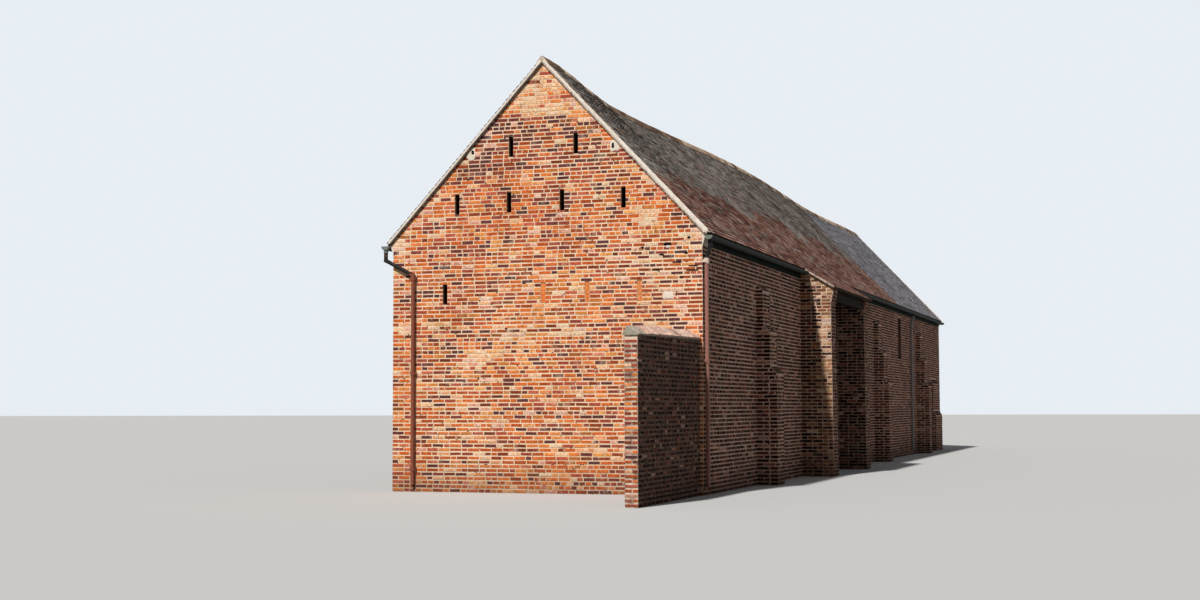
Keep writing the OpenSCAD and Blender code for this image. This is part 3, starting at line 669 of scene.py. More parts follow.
def makeBrickShape(settings):
    shape = bmesh.new()
    body = settings["thickness"] - settings["crest"]
    corner = Vector((settings["stretcher"], body, brickHeight)) / 2
    addBlock(shape, -corner, corner)
    front = min(shape.faces, key=lambda face: face.calc_center_median().y)
    bmesh.ops.inset_region(
        shape, faces=[front], thickness=settings["chamfer"], depth=settings["crest"], use_even_offset=True
    )
    rim = -body / 2 - settings["crest"] / 2
    return shapeFromBmesh("brick", shape, lambda normal, corner: 0.0 if corner.y < rim else 1.0)


brickShape = makeBrickShape(brickwork)
brickSurface = surfaceOf(*(
    name for name in nodes
    if any(word in name for word in ("gable", "wall", "cheeks", "buttress"))
    and "pipe" not in name and "plates" not in name
))


# Where the front gable is limed over: x and z of the middle, half the width and height
limedSpots = [
    (2.92, 4.64, 0.22, 0.2), (-2.93, 4.58, 0.18, 0.2), (2.11, 4.51, 0.13, 0.04), (1.66, 4.62, 0.16, 0.04),
    (2.45, 4.0, 0.11, 0.04), (2.6, 3.87, 0.13, 0.04), (-1.88, 4.55, 0.13, 0.04), (-2.4, 3.66, 0.16, 0.04),
    (-2.2, 5.02, 0.26, 0.18), (2.02, 5.02, 0.26, 0.18), (0.15, 7.05, 0.26, 0.18), (-0.55, 2.9, 0.26, 0.14),
    (2.42, 3.62, 0.16, 0.12), (-1.4, 2.45, 0.34, 0.12), (-2.6, 5.4, 0.18, 0.12), (2.6, 3.3, 0.24, 0.1),
    (2.1, 3.05, 0.3, 0.08), (1.35, 3.35, 0.24, 0.06), (2.75, 2.75, 0.18, 0.12), (0.6, 2.95, 0.3, 0.06),
]


# Share of limed bricks: the spots, and a strip below the verges
def limeAt(place):
    lime = 0.0
    if place.y <= 0:
        for x, z, across, rise in limedSpots:
            away = math.hypot((place.x - x) / across, (place.z - z) / rise)
            lime = max(lime, 0.6 * min(1.0, 2.0 * (1.25 - away)))
    under = (halfWidth - abs(place.x)) / halfWidth - (place.z - eaveZ) / (gableHigh.z - eaveZ)
    return lime + (0.3 if under < 0.055 and place.z > eaveZ else 0.0)


# Mean tone and spread, share of burnt and pale bricks, and share of ochre and purple ones
moods = {
    "top": (0.8, 0.13, 0.015, 0.22, 0.2, 0.12),
    "band": (0.34, 0.22, 0.27, 0.07, 0.08, 0.5),
    "bandEnds": (0.48, 0.2, 0.15, 0.07, 0.14, 0.36),
    "upper": (0.52, 0.17, 0.09, 0.05, 0.1, 0.28),
    "right": (0.44, 0.23, 0.15, 0.04, 0.12, 0.3),
    "middle": (0.55, 0.19, 0.1, 0.05, 0.12, 0.28),
    "low": (0.52, 0.2, 0.11, 0.07, 0.1, 0.28),
    "sideNear": (0.45, 0.24, 0.18, 0.05, 0.22, 0.3),
    "sideFar": (0.5, 0.22, 0.12, 0.03, 0.1, 0.22),
    "cheekPaintedShade": (0.36, 0.22, 0.26, 0.02, 0.12, 0.3),
    "cheekPaintedSun": (0.66, 0.18, 0.08, 0.16, 0.4, 0.08),
    # Weatherings darker: moss, and painted shade on their slopes
    "slope": (0.2, 0.14, 0.3, 0.0, 0.3, 0.4),
    # The stub's sides darker: dirt, and painted shade
    "stub": (0.34, 0.22, 0.2, 0.03, 0.28, 0.36),
}


def frontMood(place):
    z = place.z + 0.35 * noise.noise(place * 0.8)
    if 6.15 < z <= 7.05:
        return moods["band" if abs(place.x) < 1.6 else "bandEnds"]
    if z < 4.8 and place.x > 1.5:
        key = "right"
    else:
        key = "top" if z > 7.05 else "upper" if z > 5.05 else "middle" if z > 3.2 else "low"
    mean, spread, burnt, pale, ochre, purple = moods[key]
    return mean, spread, burnt, pale + limeAt(place), ochre, purple


def sideMood(place):
    return moods["sideFar" if place.y > 2 else "sideNear"]


# Dark beside the wall, pale and ochre at the outer corner: painted shade where the eaves shade the cheek front,
# and painted sun on its lit corner
def cheekMood(place):
    atCorner = abs(place.x) > halfWidth + 0.42 + 0.05 * noise.noise(place * 1.5)
    return moods["cheekPaintedSun" if atCorner else "cheekPaintedShade"]


def slopeMood(place):
    return moods["slope"]


def stubMood(place):
    return moods["stub"]


def brickTone(draw, place, mood):
    mean, spread, burnt, pale, ochre, purple = mood(place)
    luck = draw.random()
    patch = noise.noise(place * 1.7 + Vector((11, 3, 5)))
    drift = 0.25 * noise.noise(place * 0.9 + Vector((3, 17, 9)))
    family = draw.random()
    hue = 1.0 if family < purple + drift else (0.62 if family > 1 - ochre + drift else 0.0)
    if luck < burnt * (1 + 1.2 * patch):
        return draw.uniform(0.0, 0.2), (1.0 if draw.random() < 0.7 else hue)
    if luck > 1 - pale * (1 - patch):
        return draw.uniform(0.9, 1.0), hue
    return clamp(mean + 0.18 * patch + draw.gauss(0, spread), 0.06, 0.92), hue


# Where a course can lie: stretches of even depth that the rays find
def bareRuns(wall, low, high):
    def depthAt(along):
        along = clamp(along, 0.003, wall.length - 0.003)
        found = []
        for level in (low, high):
            start = wall.corner + wall.along * along + wall.up * level + wall.out * wall.clear
            place, normal, _, distance = brickSurface.ray_cast(start, -wall.out, wall.clear + 0.02)
            if place is None or normal.dot(wall.out) < 0.97:
                return None
            found.append(wall.clear - distance)
        return None if abs(found[0] - found[1]) > 0.024 else max(found)

    def alike(first, second):
        if first is None or second is None:
            return first is second
        return abs(first - second) < 0.01

    def edgeBetween(start, end, depth):
        for _ in range(6):
            middle = (start + end) / 2
            if alike(depthAt(middle), depth):
                start = middle
            else:
                end = middle
        return start

    count = max(3, round(wall.length / brickwork["step"]))
    marks = [wall.length * index / count for index in range(count + 1)]
    runs = []
    start, depth = 0.0, depthAt(0.0)
    for before, mark in zip(marks, marks[1:]):
        here = depthAt(mark)
        if alike(here, depth):
            continue
        edge = edgeBetween(before, mark, depth)
        if depth is not None:
            runs.append((start, edge, depth))
        start, depth = edge, here
    if depth is not None:
        runs.append((start, wall.length, depth))
    return runs


# How much of a brick's height the weather has taken: patches have tight or wide joints, and
# the widest are low on the right of the front gable
def wornAt(place):
    patchy = 0.16 * noise.noise(place * 1.1 + Vector((5, 0, 2))) + 0.08 * noise.noise(place * 3.1)
    if place.y > frontY + 0.05:
        return 0.6 * patchy
    low, right = clamp((4.7 - place.z) / 0.6), clamp((place.x - 1.0) / 1.2)
    return max(-0.13, patchy - 0.04 + low * (0.09 + 0.14 * right))


def courseCuts(draw, wall, index):
    cuts = [0.0, brickwork["header" if index % 2 else "stretcher"] + wall.sideJoint]
    kind = draw.random()
    headers = max(0.9 if kind < 0.13 else (0.42 if kind < 0.45 else 0.12), wall.headers)
    while cuts[-1] < wall.length:
        size = brickwork["header" if draw.random() < headers else "stretcher"]
        cuts.append(cuts[-1] + size * draw.uniform(*brickwork["lengths"]) + wall.sideJoint)
    return cuts


def standProud(draw):
    return draw.uniform(*brickwork["proud"]) - brickwork["thickness"] / 2


def layWall(bed, wall, mood, draw):
    facing = Matrix((wall.along, -wall.out, wall.up)).transposed()
    for index in range(int(wall.height / wall.gauge + 0.2)):
        low = index * wall.gauge + wall.joint / 2
        high = (index + 1) * wall.gauge - wall.joint / 2
        cuts = courseCuts(draw, wall, index)
        for start, end, depth in bareRuns(wall, low, high):
            parts = [[max(a, start), min(b, end)] for a, b in zip(cuts, cuts[1:]) if a < end and b > start]
            for last, beside, edge in ((0, 1, 0), (-1, -2, 1)):
                if len(parts) > 1 and parts[last][1] - parts[last][0] < brickwork["smallest"]:
                    parts[beside][edge] = parts[last][edge]
                    parts.pop(last)
            for left, right in parts:
                left += 0 if left <= start else wall.sideJoint / 2
                right -= 0 if right >= end else wall.sideJoint / 2
                if right - left < brickwork["thinnest"]:
                    continue
                place = wall.corner + wall.along * (left + right) / 2 + wall.up * (low + high) / 2
                if wall.up == upward:
                    place.z += brickwork["wave"] * noise.noise(Vector((place.x, place.y, 0)) * 0.4)
                place = place + wall.out * (depth + standProud(draw))
                outTilt, alongTilt = brickwork["tilt"]
                tilt = wobble(draw, outTilt, wall.out) @ wobble(draw, alongTilt, wall.along)
                size = (
                    (right - left) / brickwork["stretcher"] * draw.uniform(*brickwork["widths"]),
                    1,
                    (high - low) / brickHeight * draw.uniform(*brickwork["heights"]) * (1 - wornAt(place)),
                )
                layOne(bed, place, tilt @ facing, size, *brickTone(draw, place, mood))


# One piece from walls that each have their mood
def layPiece(name, finish, draw, *walls):
    bed = startBed()
    for wall, mood in walls:
        layWall(bed, wall, mood, draw)
    pieceFromBed(name, bed, brickShape, finish)


# One wall seen square on: its lower corner on the left, and how far it reaches
def wallFrom(corner, out, length, height, clear=0.03, up=upward, **more):
    out = Vector(out)
    return SimpleNamespace(**{
        "corner": Vector(corner), "out": out, "up": up, "along": up.cross(out), "length": length,
        "height": height, "clear": clear, "gauge": brickwork["gauge"], "joint": brickwork["bedJoint"],
        "sideJoint": brickwork["sideJoint"], "headers": 0, **more,
    })


# Lengths along y that the separate blocks of a node take up
def blocksAlong(name):
    edges = sorted({round(corner.co.y, 3) for corner in nodes[name].data.vertices})
    return list(zip(edges[0::2], edges[1::2]))


# Sloped faces of a node, as walls that lie back
def slopedWalls(name, block):
    groups = {}
    for face in nodes[name].data.polygons:
        if 0.3 < face.normal.z < 0.97 and block[0] - 0.01 < face.center.y < block[1] + 0.01:
            groups.setdefault(round(face.center.dot(face.normal), 2), []).append(face)
    walls = []
    for faces in groups.values():
        out = faces[0].normal.copy()
        up = lieOn(out)[1]
        along = up.cross(out)
        corners = [nodes[name].data.vertices[index].co for face in faces for index in face.vertices]
        lefts, feet = ([corner.dot(axis) for corner in corners] for axis in (along, up))
        corner = along * min(lefts) + up * min(feet) + out * corners[0].dot(out)
        rise = max(feet) - min(feet)
        gauge = rise / max(1, round(rise / brickwork["gauge"]))
        width = max(lefts) - min(lefts)
        walls.append(wallFrom(corner, out, width, rise, up=up, gauge=gauge, **weathering))
    return walls


def layBarnWalls():
    draw = random.Random(brickwork["seed"])
    for name, side, faceY in (("front_gable", 1, frontY), ("rear_gable", -1, rearY)):
        face = startBed()
        corner = (-side * halfWidth, faceY, 0)
        layWall(face, wallFrom(corner, (0, -side, 0), 2 * halfWidth, gableHigh.z), frontMood, draw)
        layBlocked(face, name, side, faceY, draw)
        layFillers(face, name, side, faceY, draw)
        pieceFromBed(f"{name}_bricks", face, brickShape, "gableBrick")
    for name, side in sides:
        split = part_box(f"{name}_door_frame")[1].y
        for part, start, end in (("near", frontY, split), ("far", split, rearY)):
            corner = (side * halfWidth, start if side > 0 else end, 0)
            wall = wallFrom(corner, (side, 0, 0), end - start, brickwork["eaves"], 1.0, **sideWork)
            layPiece(f"{name}_{part}_bricks", "sideBrick", draw, (wall, sideMood))
        layReturns(name, side, draw)


# Slits of a gable: x on the left and right, z below and above
def slitsOf(name, faceY):
    levels, rows = {}, {}
    for corner in nodes[name].data.vertices:
        x, y, z = corner.co
        if abs(y - faceY) < 0.001 and abs(x) < halfWidth - 0.1 and z < gableHigh.z - 0.5:
            levels.setdefault(round(x, 4), set()).add(round(z, 4))
    for x, span in levels.items():
        if len(span) == 2:
            rows.setdefault(tuple(sorted(span)), []).append(x)
    return [
        (left, right, low, high) for (low, high), xs in rows.items()
        for left, right in zip(sorted(xs)[0::2], sorted(xs)[1::2])
    ]


# Cut bricks above and below each slit, where it takes only part of a course
def layFillers(bed, name, side, faceY, draw):
    gauge, joint = brickwork["gauge"], brickwork["bedJoint"]
    facing = Matrix.Diagonal((side, side, 1))
    for left, right, foot, head in slitsOf(name, faceY):
        for edge in (foot, head):
            low = math.floor(edge / gauge) * gauge + joint / 2
            high = low + gauge - joint
            low, high = (low, min(high, edge)) if edge == foot else (max(low, edge), high)
            if high - low < 0.012:
                continue
            place = Vector(((left + right) / 2, faceY - side * standProud(draw), (low + high) / 2))
            size = ((right - left - 0.008) / brickwork["stretcher"], 1, (high - low) / brickHeight)
            layOne(bed, place, facing, size, *brickTone(draw, place, frontMood))


# Two bricks on end close each blocked slit, a little behind the face
def layBlocked(bed, name, side, faceY, draw):
    recess = [corner.co for corner in nodes[name].data.vertices if 0.005 < abs(corner.co.y - faceY) < 0.04]
    edges = sorted({round(corner.x, 3) for corner in recess})
    low, high = min(corner.z for corner in recess), max(corner.z for corner in recess)
    facing = Matrix(((0, 0, 1), (0, side, 0), (-side, 0, 0))).transposed()
    for left, right in zip(edges[0::2], edges[1::2]):
        for level in (0.27, 0.73):
            place = Vector(((left + right) / 2, faceY + side * 0.021, low + (high - low) * level))
            size = ((high - low) * 0.46 / brickwork["stretcher"], 1, (right - left - 0.012) / brickHeight)
            layOne(bed, place, wobble(draw, 0.012, "Y") @ facing, size, draw.uniform(0.62, 0.8))


# Sides of the cheeks and buttresses, and the weatherings between their stages; the front of the near cheek
# stands in the sun and is laid in paler bricks than the sides, as painted sun
def layReturns(name, side, draw):
    cheekLow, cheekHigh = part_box(f"{name}_porch_cheeks")
    doorLow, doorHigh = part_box(f"{name}_door_frame")
    reach = reachOf(f"{name}_porch_cheeks")[1]
    inner = reachOf(f"{name}_door_frame")[1] + 0.01
    spans = [
        (cheekLow.y, -1, halfWidth, reach), (doorLow.y, 1, inner, reach),
        (doorHigh.y, -1, inner, reach), (cheekHigh.y, 1, halfWidth, reach),
    ]
    beds = {-1: startBed(), 1: startBed()}
    for block in blocksAlong(f"{name}_buttresses"):
        for y, way in zip(block, (-1, 1)):
            spans.append((y, way, halfWidth, halfWidth + brickwork["buttressOut"]))
        for sloped in slopedWalls(f"{name}_buttresses", block):
            layWall(beds[1], sloped, slopeMood, draw)
    for y, way, near, far in spans:
        corner = ((min if way < 0 else max)(side * near, side * far), y, 0)
        work = cheekWork if y in (cheekLow.y, doorHigh.y) else sideWork
        wall = wallFrom(corner, (0, way, 0), far - near, brickwork["cheekTop"], **work)
        if y == cheekLow.y:
            layWall(beds[-1], wall, cheekMood, draw)
        else:
            layWall(beds[1], wall, sideMood, draw)
    pieceFromBed(f"{name}_cheek_front_bricks", beds[-1], brickShape, "pierBrick")
    pieceFromBed(f"{name}_pier_bricks", beds[1], brickShape, "sideBrick")


def layStub():
    draw = random.Random(brickwork["seed"] + 5)
    low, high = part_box("stub_wall")
    road, yard, end = (
        wallFrom(corner, out, length, high.z) for corner, out, length in (
            ((high.x, low.y, 0), (1, 0, 0), high.y - low.y),
            ((low.x, high.y, 0), (-1, 0, 0), high.y - low.y),
            ((low.x, low.y, 0), (0, -1, 0), high.x - low.x),
        )
    )
    layPiece("stub_wall_bricks", "sideBrick", draw, (road, stubMood), (yard, stubMood))
    layPiece("stub_end_bricks", "gableBrick", draw, (end, frontMood))


layBarnWalls()
layStub()

# Roof tiles: plain clay tiles, each tail on the two courses below
tiling = {
    "width": 0.162,
    "length": 0.15,
    "thickness": 0.017,
    "pitch": 0.166,
    "gauge": 0.104,
    "overhang": 0.015,
    "lap": 0.03,
    "lean": 0.135,
    "sink": 0.001,
    "swing": 0.012,
    "roll": 0.01,
    "lastRow": 0.62,
    "slab": 0.52,
    "copingPitch": 0.2,
    "copingJoint": 0.006,
    "seamY": 6.0,
    "aboveAll": 9,
    "seed": 21,
}


def makeTileShape(settings):
    shape = bmesh.new()
    corner = Vector((settings["width"], settings["length"], settings["thickness"])) / 2
    addBlock(shape, -corner, corner)
    return shapeFromBmesh("tile", shape, lambda normal, corner: 0.0 if normal.z > 0.5 else 1.0)


tileShape = makeTileShape(tiling)


# Red-brown below, grey-brown above, blue-grey past the seam
def roofShade(place, share, draw):
    cloudy = noise.noise(place * 0.55) + 0.5 * noise.noise(place * 1.9)
    if abs(place.y) > rearY - 0.05:
        if place.x < 0:
            return draw.uniform(0.1, 0.4), 0.3
        return draw.uniform(0.6, 1.0), (1.8 if draw.random() < 0.8 else 0.05)
    if place.y > tiling["seamY"]:
        hue = 1.0 if draw.random() < 0.93 else 0.3
        tone = 0.55 + 0.16 * cloudy + draw.gauss(0, 0.09)
    else:
        hue = 0.05 if share + 0.16 * cloudy < 0.4 else 0.52
        if draw.random() < 0.12:
            hue = 0.52 if hue < 0.3 else 0.2
        tone = 0.515 + 0.2 * cloudy + draw.gauss(0, 0.11)
    luck = draw.random()
    if luck < 0.09:
        tone = draw.uniform(0.15, 0.3)
    if luck > 0.93:
        tone = draw.uniform(0.7, 0.85)
    return clamp(tone), hue


def porchShade(place, share, draw):
    return clamp(draw.gauss(0.51, 0.18)), draw.choice([0.0, 0.0, 0.5])


def castDown(surface, x, y, z):
    return surface.ray_cast(Vector((x, y, z)), -upward)[:2]


# Rows from the outer edge up to the inner one, every second row half a tile further
def layTiles(surface, side, outer, inner, ys, shade, draw):
    bed = startBed()
    normal = castDown(surface, side * (outer - 0.06), sum(ys) / 2, tiling["aboveAll"])[1]
    level = math.cos(math.acos(min(1, normal.z)))
    rows = max(1, round((outer - inner) / level / tiling["gauge"]))
    columns = round((ys[1] - ys[0]) / tiling["pitch"])
    pitch = (ys[1] - ys[0]) / columns
    for row in range(rows):
        share = row / rows
        shift = 0.5 if row % 2 else 0.0
        back = tiling["length"] / 2 * (tiling["lastRow"] if row == rows - 1 else 1.0)
        x = max(outer - (outer - inner) * share - back * level, inner * 0.5)
        for column in range(columns + row % 2):
            left = ys[0] + max(0, column - shift) * pitch
            right = min(ys[1], ys[0] + (column + 1 - shift) * pitch)
            place, normal = castDown(surface, side * x, (left + right) / 2, tiling["aboveAll"])
            if place is None:
                continue
            facing, rising = lieOn(normal)
            lean = wobble(draw, tiling["swing"], "X", -tiling["lean"])
            twist = wobble(draw, tiling["swing"], "Z") @ wobble(draw, tiling["roll"], "Y")
            place = place + normal * (draw.uniform(-0.001, 0.003) - tiling["sink"])
            place = place + rising * draw.gauss(0, 0.003)
            size = ((right - left) / tiling["pitch"], 2 * back / tiling["length"], draw.uniform(0.9, 1.15))
            layOne(bed, place, facing @ twist @ lean, size, *shade(place, share, draw))
    return bed


# Tiles set across both slopes of the stub's coping, behind the pale stone at its end
def layCoping(draw):
    bed = startBed()
    low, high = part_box("stub_coping")
    surface = surfaceOf("stub_coping")
    corners = [corner.co for corner in nodes["stub_coping"].data.vertices if corner.co.y < low.y + 0.001]
    back = max(corners, key=lambda corner: corner.z).x
    start = low.y + tiling["slab"]
    columns = round((high.y - start) / tiling["copingPitch"])
    pitch = (high.y - start) / columns
    across = (pitch - tiling["copingJoint"]) / tiling["width"]
    for edge in (low.x, high.x):
        for column in range(columns):
            y = start + (column + 0.5) * pitch
            place, normal = castDown(surface, (edge + back) / 2, y, high.z + 1)
            turn = lieOn(normal)[0] @ wobble(draw, 0.02, "Z") @ wobble(draw, 0.015, "Y")
            length = abs(edge - back) / max(0.2, normal.z)
            size = (across, length / tiling["length"] * 1.02, draw.uniform(0.9, 1.3))
            place = place + normal * (0.004 + draw.uniform(0, 0.002))
            layOne(bed, place, turn, size, clamp(draw.gauss(0.6, 0.22)), draw.choice([0.0, 0.3, 0.5]))
    return bed


def layRoofs():
    draw = random.Random(tiling["seed"])
    for name, side in sides:
        slope, porch = f"{name}_roof_slope", f"{name}_porch_roof"
        for part, shade, inner, under in (
            ("roof", roofShade, 0.0, [slope]),
            ("porch", porchShade, reachOf(porch)[0] - tiling["lap"], [porch, slope]),
        ):
            ys = [corner.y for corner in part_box(under[0])]
            outer = reachOf(under[0])[1] + tiling["overhang"]
            bed = layTiles(surfaceOf(*under), side, outer, inner, ys, shade, draw)
            pieceFromBed(f"{name}_{part}_tiles", bed, tileShape, f"{part}Tile")
    pieceFromBed("stub_coping_tiles", layCoping(draw), tileShape, "copingTile")


layRoofs()

# Ridge tiles: bent to a blunt back, each bedded on the mortar of the ridge
ridging = {
    "length": 0.45,
    "gap": 0.012,
    "width": 0.128,
    "height": 0.152,
    "bend": 1.3,
    "thickness": 0.011,
    "segments": 12,
    "proud": 0.007,
    "seed": 33,
}


def makeRidgeShape(settings):
    shape = bmesh.new()
    half = (settings["length"] - settings["gap"]) / 2
    last = None
    for index in range(settings["segments"] + 1):
        share = 2 * index / settings["segments"] - 1
        fall = settings["height"] * abs(share) ** settings["bend"]
        corner = shape.verts.new((settings["width"] * share, -half, -fall))
        if last:
            shape.edges.new((last, corner))
        last = corner
    made = bmesh.ops.extrude_edge_only(shape, edges=shape.edges)
    moved = [part for part in made["geom"] if isinstance(part, bmesh.types.BMVert)]
    bmesh.ops.translate(shape, verts=moved, vec=(0, 2 * half, 0))
    bmesh.ops.recalc_face_normals(shape, faces=shape.faces)
    bmesh.ops.solidify(shape, geom=shape.faces[:], thickness=settings["thickness"])
    return shapeFromBmesh("ridge_tile", shape, lambda normal, corner: 1.0 if abs(normal.y) > 0.5 else 0.0)


ridgeShape = makeRidgeShape(ridging)


def layRidge():
    draw = random.Random(ridging["seed"])
    low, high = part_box("ridge_tiles")
    surface = surfaceOf("ridge_tiles")
    bed = startBed()
    count = round((high.y - low.y) / ridging["length"])
    pitch = (high.y - low.y) / count
    for index in range(count):
        y = low.y + (index + 0.5) * pitch
        start, end = (castDown(surface, 0, y + shift, high.z + 1)[0] for shift in (-0.2, 0.2))
        along = (end - start).normalized()
        up = (upward - along * along.z).normalized()
        facing = Matrix((along.cross(up), along, up)).transposed()
        turn = facing @ (wobble(draw, 0.018, "Z") @ wobble(draw, 0.02, "Y"))
        place = (start + end) / 2 + up * (ridging["proud"] + draw.uniform(-0.002, 0.005))
        layOne(bed, place, turn, (1, pitch / ridging["length"], 1), draw.random())
    pieceFromBed("ridge_tile_row", bed, ridgeShape, "ridgeTile")


layRidge()

# Cart doors: boards, ledges, strap hinges and nails
doorSettings = {
    "post": 0.11,
    "gap": 0.004,
    "foot": 0.03,
    "board": 0.165,
    "boardT": 0.045,
    "joint": 0.0015,
    "slip": 0.004,
    "ledgeT": 0.035,
    "ledgeH": 0.14,
    "ledgeInset": 0.04,
    "levels": (0.08, 0.48, 0.88),
    "strapT": 0.008,
    "strapH": 0.06,
    "strapL": 0.7,
    "strapLap": 0.075,
    "strapEnd": 0.45,
    "nail": 0.009,
    "hatchBoards": 4,
    "hatchLevels": (0.16, 0.84),
    "hatchStrapT": 0.006,
    "hatchNails": 4,
    "seed": 41,
}


def addNail(shape, place, side, radius):
    turn = Matrix.Rotation(side * math.pi / 2, 4, "Y")
    bmesh.ops.create_cone(
        shape, cap_ends=True, segments=8, radius1=radius, radius2=radius * 0.45, depth=radius * 0.8,
        matrix=Matrix.Translation(place) @ turn,
    )


def makeCartDoors(name, side):
    settings = doorSettings
    draw = random.Random(settings["seed"] + side)
    frameLow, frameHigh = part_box(f"{name}_door_frame")
    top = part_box(f"{name}_cart_doors")[1].z
    face = side * (reachOf(f"{name}_cart_doors")[1] - settings["strapT"])
    back, strapFace = face - side * settings["boardT"], face + side * settings["strapT"]
    boards, irons = bmesh.new(), bmesh.new()
    middle = (frameLow.y + frameHigh.y) / 2
    width = middle - frameLow.y - settings["post"]
    feet = [settings["foot"] + level * (top - settings["foot"]) for level in settings["levels"]]
    for leaf in (-1, 1):
        outer = middle + leaf * (width - settings["gap"])
        inner = middle + leaf * settings["gap"] / 2
        count = round(abs(outer - inner) / settings["board"])
        cuts = [outer + (inner - outer) * index / count for index in range(count + 1)]
        cuts = [cuts[0]] + [cut + draw.uniform(-0.012, 0.012) for cut in cuts[1:-1]] + [cuts[-1]]
        for start, end in (sorted(pair) for pair in zip(cuts, cuts[1:])):
            slip = draw.uniform(0, settings["slip"])
            addBlock(
                boards,
                (back, start + settings["joint"], settings["foot"] + draw.uniform(0, 0.012)),
                (face - side * slip, end - settings["joint"], top - draw.uniform(0, 0.004)),
                0.004,
            )
            for foot in feet:
                for lift in (0.3, 0.7):
                    y = (start + end) / 2 + draw.uniform(-0.02, 0.02)
                    addNail(irons, (face, y, foot + settings["ledgeH"] * lift), side, settings["nail"])
        for foot in feet:
            inset = leaf * settings["ledgeInset"]
            head = foot + settings["ledgeH"]
            addBlock(
                boards, (back, outer - inset, foot),
                (back - side * settings["ledgeT"], inner + inset, head), 0.006,
            )
        for foot in (feet[0], feet[2]):
            z = foot + settings["ledgeH"] / 2
            start = middle + leaf * (width + settings["strapLap"])
            end = start - leaf * settings["strapL"]
            low, high = z - settings["strapH"] / 2, z + settings["strapH"] / 2
            for corner in addBlock(irons, (face, start, low), (strapFace, end, high)):
                if abs(corner.co.y - start) > settings["strapL"] / 2:
                    corner.co.z = z + (corner.co.z - z) * settings["strapEnd"]
            for index in range(5):
                y = start - leaf * settings["strapL"] * (0.12 + 0.19 * index)
                addNail(irons, (strapFace, y, z), side, settings["nail"] * 1.2)
    piece = pieceFromBmesh(f"{name}_door_boards", boards, "doorBoards")
    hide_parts(f"{name}_cart_doors")
    pieceFromBmesh(f"{name}_door_irons", irons, "blackIron")


# Hatch shutters: upright boards with two ledges across the face
def makeShutter(name, side):
    settings = doorSettings
    draw = random.Random(settings["seed"] + 3 + side)
    low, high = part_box(f"{name}_hatch_shutter")
    face, back = (high.x, low.x) if side > 0 else (low.x, high.x)
    boards, irons = bmesh.new(), bmesh.new()
    count = settings["hatchBoards"]
    cuts = [low.y + (high.y - low.y) * index / count for index in range(count + 1)]
    for start, end in zip(cuts, cuts[1:]):
        front = face - side * draw.uniform(0, settings["slip"])
        addBlock(boards, (back, start + 0.001, low.z), (front, end - 0.001, high.z), 0.004)
    piece = pieceFromBmesh(f"{name}_hatch_boards", boards, "redBoards")
    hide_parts(f"{name}_hatch_shutter")
    strapFace = face + side * settings["hatchStrapT"]
    for share in settings["hatchLevels"]:
        z = low.z + (high.z - low.z) * share
        addBlock(irons, (face, low.y + 0.01, z - 0.02), (strapFace, high.y - 0.12, z + 0.02), 0.002)
        for index in range(settings["hatchNails"]):
            y = low.y + 0.05 + (high.y - low.y - 0.2) * index / (settings["hatchNails"] - 1)
            addNail(irons, (strapFace, y, z), side, 0.007)
    pieceFromBmesh(f"{name}_hatch_irons", irons, "blackIron")


for name, side in sides:
    makeCartDoors(name, side)
    makeShutter(name, side)
report("doors and shutters hung")

# Lime, and the painted shade of holes and eroded joints, on the front gable: x and z of the middle, width and
# height
patches = {
    "lime": [
        (-1.44, 6.37, 0.19, 0.23), (1.4, 6.38, 0.19, 0.21), (2.42, 4.49, 0.1, 0.07), (2.41, 3.6, 0.21, 0.15),
    ],
    "holeShades": [
        (2.41, 4.53, 0.15, 0.06), (-1.41, 6.39, 0.07, 0.09), (1.375, 6.38, 0.06, 0.13),
        (2.18, 4.07, 0.16, 0.02), (2.86, 4.045, 0.23, 0.02), (2.66, 3.923, 0.075, 0.03),
        (2.806, 4.637, 0.06, 0.04), (2.749, 4.362, 0.07, 0.03), (2.288, 4.342, 0.09, 0.025),
        (2.889, 4.128, 0.18, 0.018), (1.93, 4.481, 0.057, 0.03), (2.58, 4.197, 0.18, 0.018),
    ],
    "thickness": 0.01,
    "square": 0.75,
}


# Flat lumps with a ragged outline, more square than round
def makePatches(name, spots, stand, finish):
    shape = bmesh.new()
    for index, (x, z, width, height) in enumerate(spots):
        for corner in bmesh.ops.create_icosphere(shape, subdivisions=3, radius=0.5)["verts"]:
            away = corner.co.copy()
            swell = 1 + 0.3 * noise.noise(away * 3.1 + Vector((index * 3.1, 0, 0)))
            across, rise = (
                math.copysign(abs(2 * value) ** patches["square"] / 2, value) for value in (away.x, away.z)
            )
            y = frontY - stand + away.y * patches["thickness"] * 2
            corner.co = (x + across * width * swell, y, z + rise * height * swell)
    pieceFromBmesh(name, shape, finish)


makePatches("gable_lime_patches", patches["lime"], 0.006, "limeRender")
makePatches("gable_holes", patches["holeShades"], 0.009, "darkHole")

# Boards behind the gutters, along the eaves between the gables and the porches
eaves = {
    "thickness": 0.022,
    "low": 4.5,
    "high": 4.74,
    "inset": 0.345,
    "clear": 0.01,
    "board": 3.4,
    "joint": 0.003,
    "bevel": 0.003,
}


def makeFascia(name, side):
    shape = bmesh.new()
    porchLow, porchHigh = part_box(f"{name}_porch_roof")
    inner = frontY + eaves["inset"]
    back, front = side * halfWidth, side * (halfWidth + eaves["thickness"])
    for start, end in ((inner, porchLow.y - eaves["clear"]), (porchHigh.y + eaves["clear"], -inner)):
        count = round((end - start) / eaves["board"])
        length = (end - start) / count
        for index in range(count):
            last = start + (index + 1) * length - eaves["joint"]
            corners = (back, start + index * length, eaves["low"]), (front, last, eaves["high"])
            addBlock(shape, *corners, eaves["bevel"])
    pieceFromBmesh(f"{name}_fascia", shape, "fascia")


for name, side in sides:
    makeFascia(name, side)
report("patches and eaves boards made")

